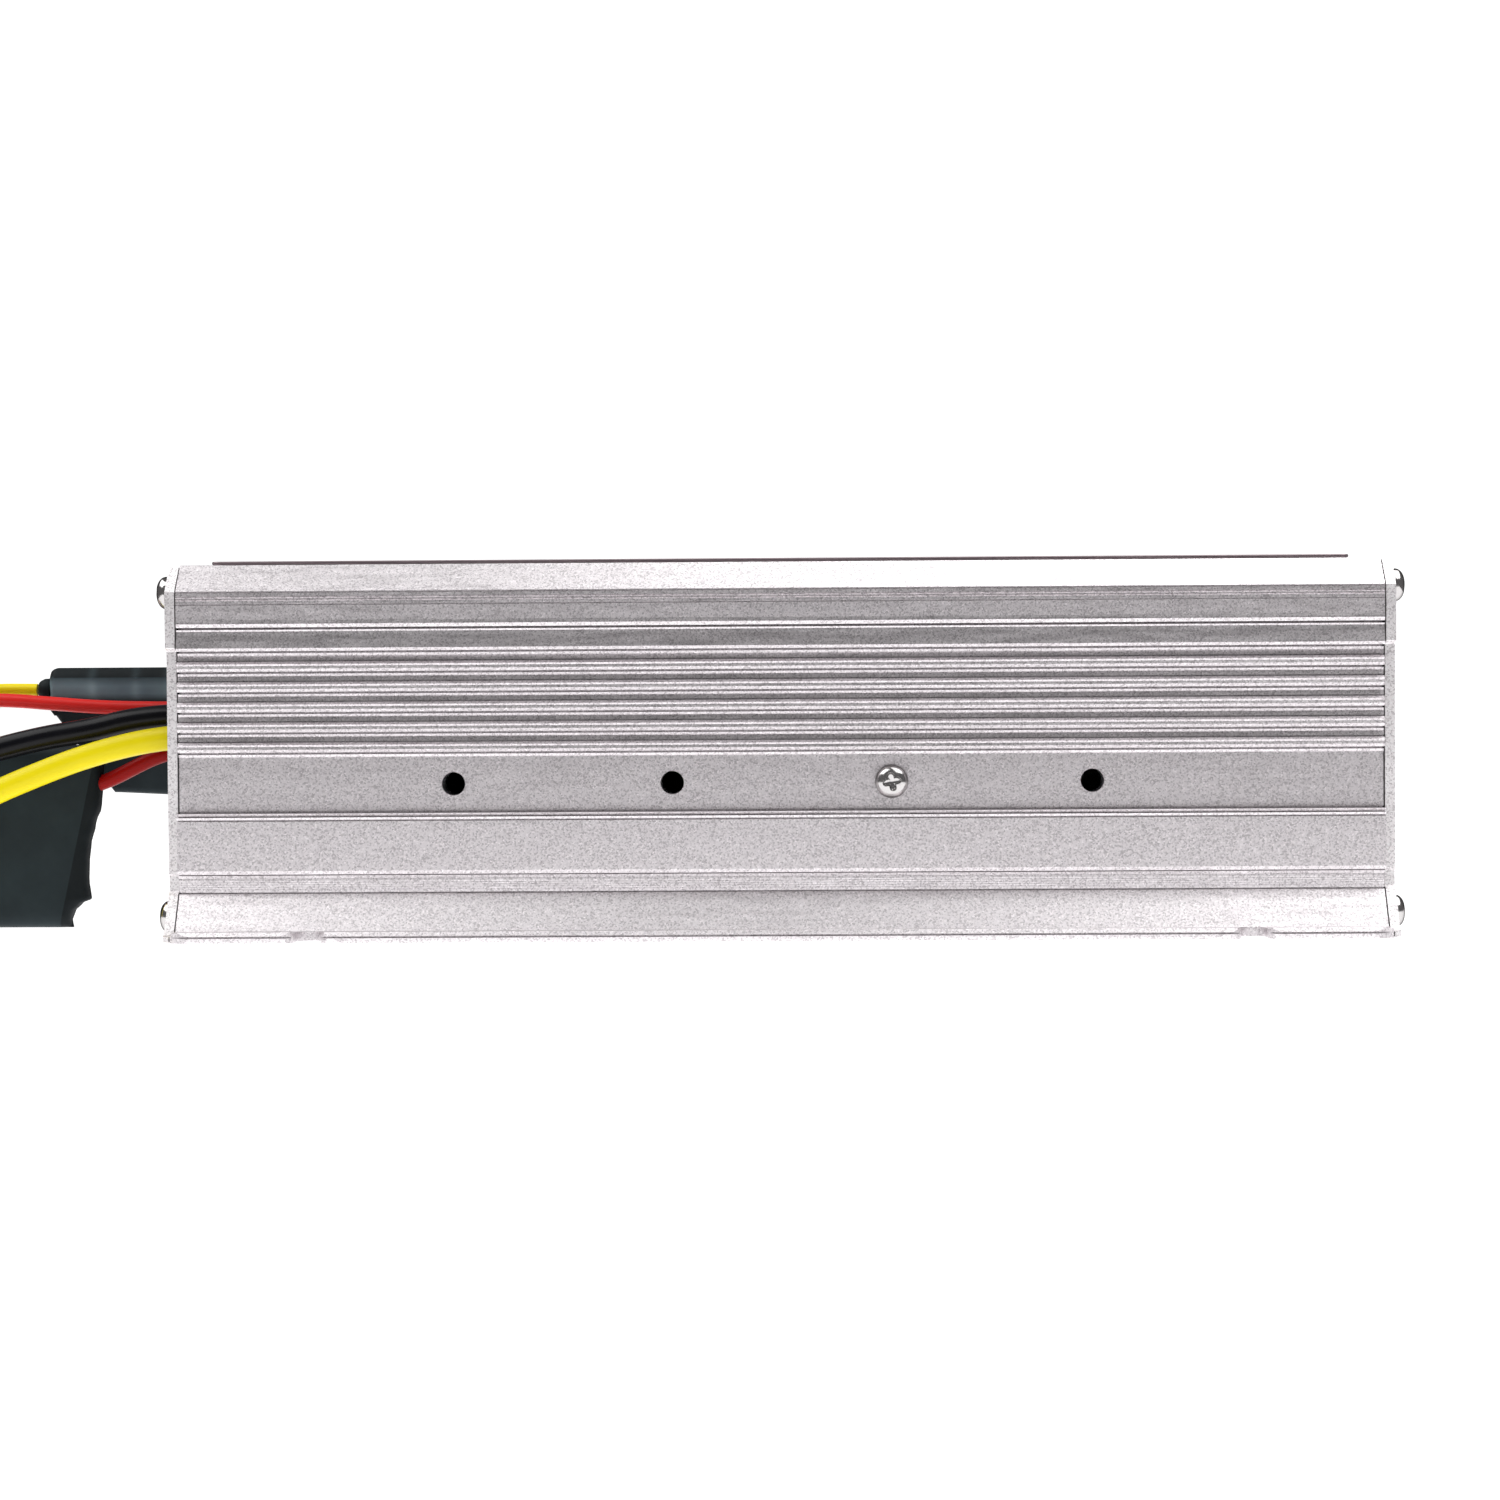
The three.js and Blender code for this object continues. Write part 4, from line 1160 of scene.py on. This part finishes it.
def make_clamp_screws():
    for side, node in ((-1, "clamp_screw_front"), (1, "clamp_screw_back")):
        offset = (SCREWED_HOLE_X, side * (WALL_Y + SCREW_GAP), HOLE_Z)
        make_screw(node, CLAMP_SCREW_SHANK, (0, side, 0), offset, CLAMP_SCREW_TURN)


make_end_screws()
make_clamp_screws()


# ------------ nameplate

NAMEPLATE_HALF_X = 99.0
NAMEPLATE_HALF_Y = 41.5
NAMEPLATE_THICKNESS = 0.6
NAMEPLATE_CORNER = 1.5
NAMEPLATE_GAP = 0.1


def make_nameplate():
    low = CASE_HEIGHT + NAMEPLATE_GAP
    half_x = NAMEPLATE_HALF_X
    half_y = NAMEPLATE_HALF_Y
    outline = rounded_rectangle(-half_x, half_x, -half_y, half_y, NAMEPLATE_CORNER, 6)
    mesh = prism("nameplate", outline, "z", low, low + NAMEPLATE_THICKNESS)
    smooth_by_angle(mesh, 40)
    piece = new_piece("nameplate_look", mesh, "nameplate_film")
    soften_edges(piece, 0.2, degrees=50)
    weight_normals(piece)
    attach(piece, "root")
    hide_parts("nameplate")


make_nameplate()


# ------------ rear sleeve

REAR_SLEEVE_X = GROMMET_FACE_X - 0.3
REAR_SLEEVE_Y = -12
REAR_SLEEVE_TOP = 47.15
REAR_SLEEVE_HALF_WIDTH = 2.9
REAR_SLEEVE_LENGTH = 26.8
REAR_SLEEVE_RIDGES = (4.5, 10.5, 18.5)
COLLAR_X = -134.0
COLLAR_Z = 43.1


def rear_sleeve_ridge(reach):
    """Rises to 1 on each ridge round the sleeve. The reach is measured from the grommet end."""
    return sum(math.exp(-((reach - ridge) / 0.8) ** 2) for ridge in REAR_SLEEVE_RIDGES)


def rear_sleeve_painted_light(x, y, z):
    """Painted light and shadow: a dark end and roof, a pale painted highlight band below the roof on the
    near side, paler on the ridges, darker again lower down.
    """
    roof = 45.35
    web_top = 38.6
    reach = REAR_SLEEVE_X - x
    if reach > REAR_SLEEVE_LENGTH - 0.3:
        return -0.5
    if z > roof:
        return -0.6 + 0.8 * rear_sleeve_ridge(reach)
    if z < web_top:
        return 0.2
    # The painted highlight band, only full strength on the side facing the camera.
    painted_sheen = min(1, max(0, (45.5 - z) / 1.3), max(0, (z - 41.2) / 1.2))
    near = 1.0 if y < REAR_SLEEVE_Y else 0.2
    return -0.35 + near * painted_sheen * (8.6 + 3.0 * rear_sleeve_ridge(reach))


def rear_sleeve_web_bottom(reach):
    """The web hangs low next to the grommet and is cut slanting towards the far end."""
    if reach < 14:
        return 23.5 + 0.05 * reach
    return max(24.2, 39.7 - 1.32 * (REAR_SLEEVE_LENGTH - reach))


def rear_sleeve_section(x):
    """The sleeve's section: a round upper part and a flat web below it."""
    reach = REAR_SLEEVE_X - x
    to_end = REAR_SLEEVE_LENGTH - reach
    top = REAR_SLEEVE_TOP - 1.7 * (1 - math.sqrt(max(0, 1 - max(0, 1 - to_end / 1.7) ** 2)))
    bottom = rear_sleeve_web_bottom(reach)
    half = REAR_SLEEVE_HALF_WIDTH * math.sqrt(min(1, (to_end + 0.15) / 1.2))
    ridge = 0.18 * rear_sleeve_ridge(reach)
    section = [
        (0, top),
        (half * 0.4, top - 0.1),
        (half * 0.66, top - 0.5),
        (half * 0.84, top - 1.2),
        (half * 0.96 + ridge, top - 1.75),
        (half + ridge, top - 2.0),
        (half, top - 2.3),
        (half * 0.97, top - 3.4),
        (half * 0.88, top - 4.8),
        (half * 0.72, top - 6.2),
        (half * 0.5, top - 7.4),
        (1.35, min(top - 8.7, 38.5)),
        (1.3, bottom + 1.1),
        (0.95, bottom + 0.35),
        (0, bottom),
    ]
    ring = [(x, REAR_SLEEVE_Y + y, max(z, bottom)) for y, z in section]
    return ring + [(x, REAR_SLEEVE_Y - y, max(z, bottom)) for y, z in reversed(section[1:-1])]


def make_rear_sleeve():
    """A ridged round run with a flat web below it, cut slanting at its far end, and a collar."""
    stations = [REAR_SLEEVE_X - REAR_SLEEVE_LENGTH * step / 80 for step in range(81)]
    body = loft("rear_sleeve", [rear_sleeve_section(x) for x in stations])
    collar = lathe("collar", [(0, 0), (2.0, 0), (2.1, 0.3), (2.05, 1.2), (1.7, 1.9), (1.4, 2.2), (0, 2.3)])
    place(collar, pointing((-1, 0, 0)), (COLLAR_X, REAR_SLEEVE_Y, COLLAR_Z))
    mesh = merged("rear_sleeve", [body, collar])
    smooth_by_angle(mesh, 50)
    paint_light_and_shadow(mesh, rear_sleeve_painted_light)
    piece = new_piece("rear_sleeve_look", mesh, "heat_shrink")
    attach(piece, "root")
    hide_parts("rear_sleeve")


make_rear_sleeve()


# ------------ carried-over pieces

def dress_carried_over():
    """Gives each CAD piece the material of its slot, for those that no piece here replaces."""
    slots = {entry["node"]: entry["material_slot"] for entry in frame["record"]["subparts"]}
    for node, piece in frame["nodes"].items():
        piece.data.materials.clear()
        piece.data.materials.append(MATERIALS[slots[node]])


dress_carried_over()


# ------------ stage, in metres

FLOOR_HALF = 6
FLOOR_Z = -0.00005
TABLE_HALF = 0.3
TABLE_Z = -0.0002
TABLE_GLOW = 1.45
BACKDROP_RADIUS = 5.5
BACKDROP_GLOW = 1.15
ROOM_GLOW = 0.145
LIGHT_XS = {"overhead_right": 0.47, "overhead_left": -0.72}
LIGHT_Y = -0.12
LIGHT_Z = 0.75
LIGHT_SIZE = (0.8, 1.1)
LIGHT_POWER = 7.0
LIGHT_TURN = 30


def emission_material(name, colour, strength):
    material = bpy.data.materials.new(name)
    material.use_nodes = True
    tree = material.node_tree
    tree.nodes.clear()
    glow = tree.nodes.new("ShaderNodeEmission")
    glow.inputs["Color"].default_value = (*colour, 1)
    glow.inputs["Strength"].default_value = strength
    output = tree.nodes.new("ShaderNodeOutputMaterial")
    tree.links.new(glow.outputs["Emission"], output.inputs["Surface"])
    return material


def square(name, half, z):
    mesh = bpy.data.meshes.new(name)
    corners = [(-half, -half, z), (half, -half, z), (half, half, z), (-half, half, z)]
    mesh.from_pydata(corners, [], [(0, 1, 2, 3)])
    plane = bpy.data.objects.new(name, mesh)
    bpy.context.scene.collection.objects.link(plane)
    return plane


def only_camera_sees(piece):
    piece.visible_diffuse = False
    piece.visible_glossy = False
    piece.visible_transmission = False
    piece.visible_shadow = False


def make_floor():
    """The white floor that only the camera sees."""
    floor = square("floor", FLOOR_HALF, FLOOR_Z)
    material, _, shader = new_material("floor_white", (0.3, 0.3, 0.3), 0.9, specular=0.1)
    shader.inputs["Emission Color"].default_value = (1, 1, 1, 1)
    shader.inputs["Emission Strength"].default_value = 1.0
    floor.data.materials.append(material)
    only_camera_sees(floor)


def make_table():
    """The white table top that the camera doesn't see and that lights the case from below."""
    table = square("table_top", TABLE_HALF, TABLE_Z)
    table.data.materials.append(emission_material("table_white", (1, 0.99, 1), TABLE_GLOW))
    table.visible_camera = False


def make_backdrop():
    """A white shell round everything."""
    mesh = bpy.data.meshes.new("backdrop")
    work = bmesh.new()
    bmesh.ops.create_icosphere(work, subdivisions=4, radius=BACKDROP_RADIUS)
    work.to_mesh(mesh)
    work.free()
    mesh.materials.append(emission_material("backdrop_white", (1, 1, 1), BACKDROP_GLOW))
    backdrop = bpy.data.objects.new("backdrop", mesh)
    bpy.context.scene.collection.objects.link(backdrop)
    only_camera_sees(backdrop)


def make_world():
    world = bpy.data.worlds.new("studio")
    world.use_nodes = True
    background = world.node_tree.nodes["Background"]
    background.inputs["Color"].default_value = (1, 0.97, 0.985, 1)
    background.inputs["Strength"].default_value = ROOM_GLOW
    bpy.context.scene.world = world


def make_overhead_light(name, x):
    """A soft light that shines straight down."""
    data = bpy.data.lights.new(name, "AREA")
    data.shape = "RECTANGLE"
    data.size, data.size_y = LIGHT_SIZE
    data.energy = LIGHT_POWER
    light = bpy.data.objects.new(name, data)
    rotation = Vector((0, 0, -LIGHT_Z)).to_track_quat("-Z", "Y").to_matrix() @ turned_about_z(LIGHT_TURN)
    light.matrix_world = Matrix.Translation((x, LIGHT_Y, LIGHT_Z)) @ rotation.to_4x4()
    light.visible_camera = False
    bpy.context.scene.collection.objects.link(light)


make_floor()
make_table()
make_backdrop()
make_world()
for light_name, light_x in LIGHT_XS.items():
    make_overhead_light(light_name, light_x)

scene = bpy.context.scene
scene.view_settings.view_transform = "Standard"
scene.view_settings.look = "None"

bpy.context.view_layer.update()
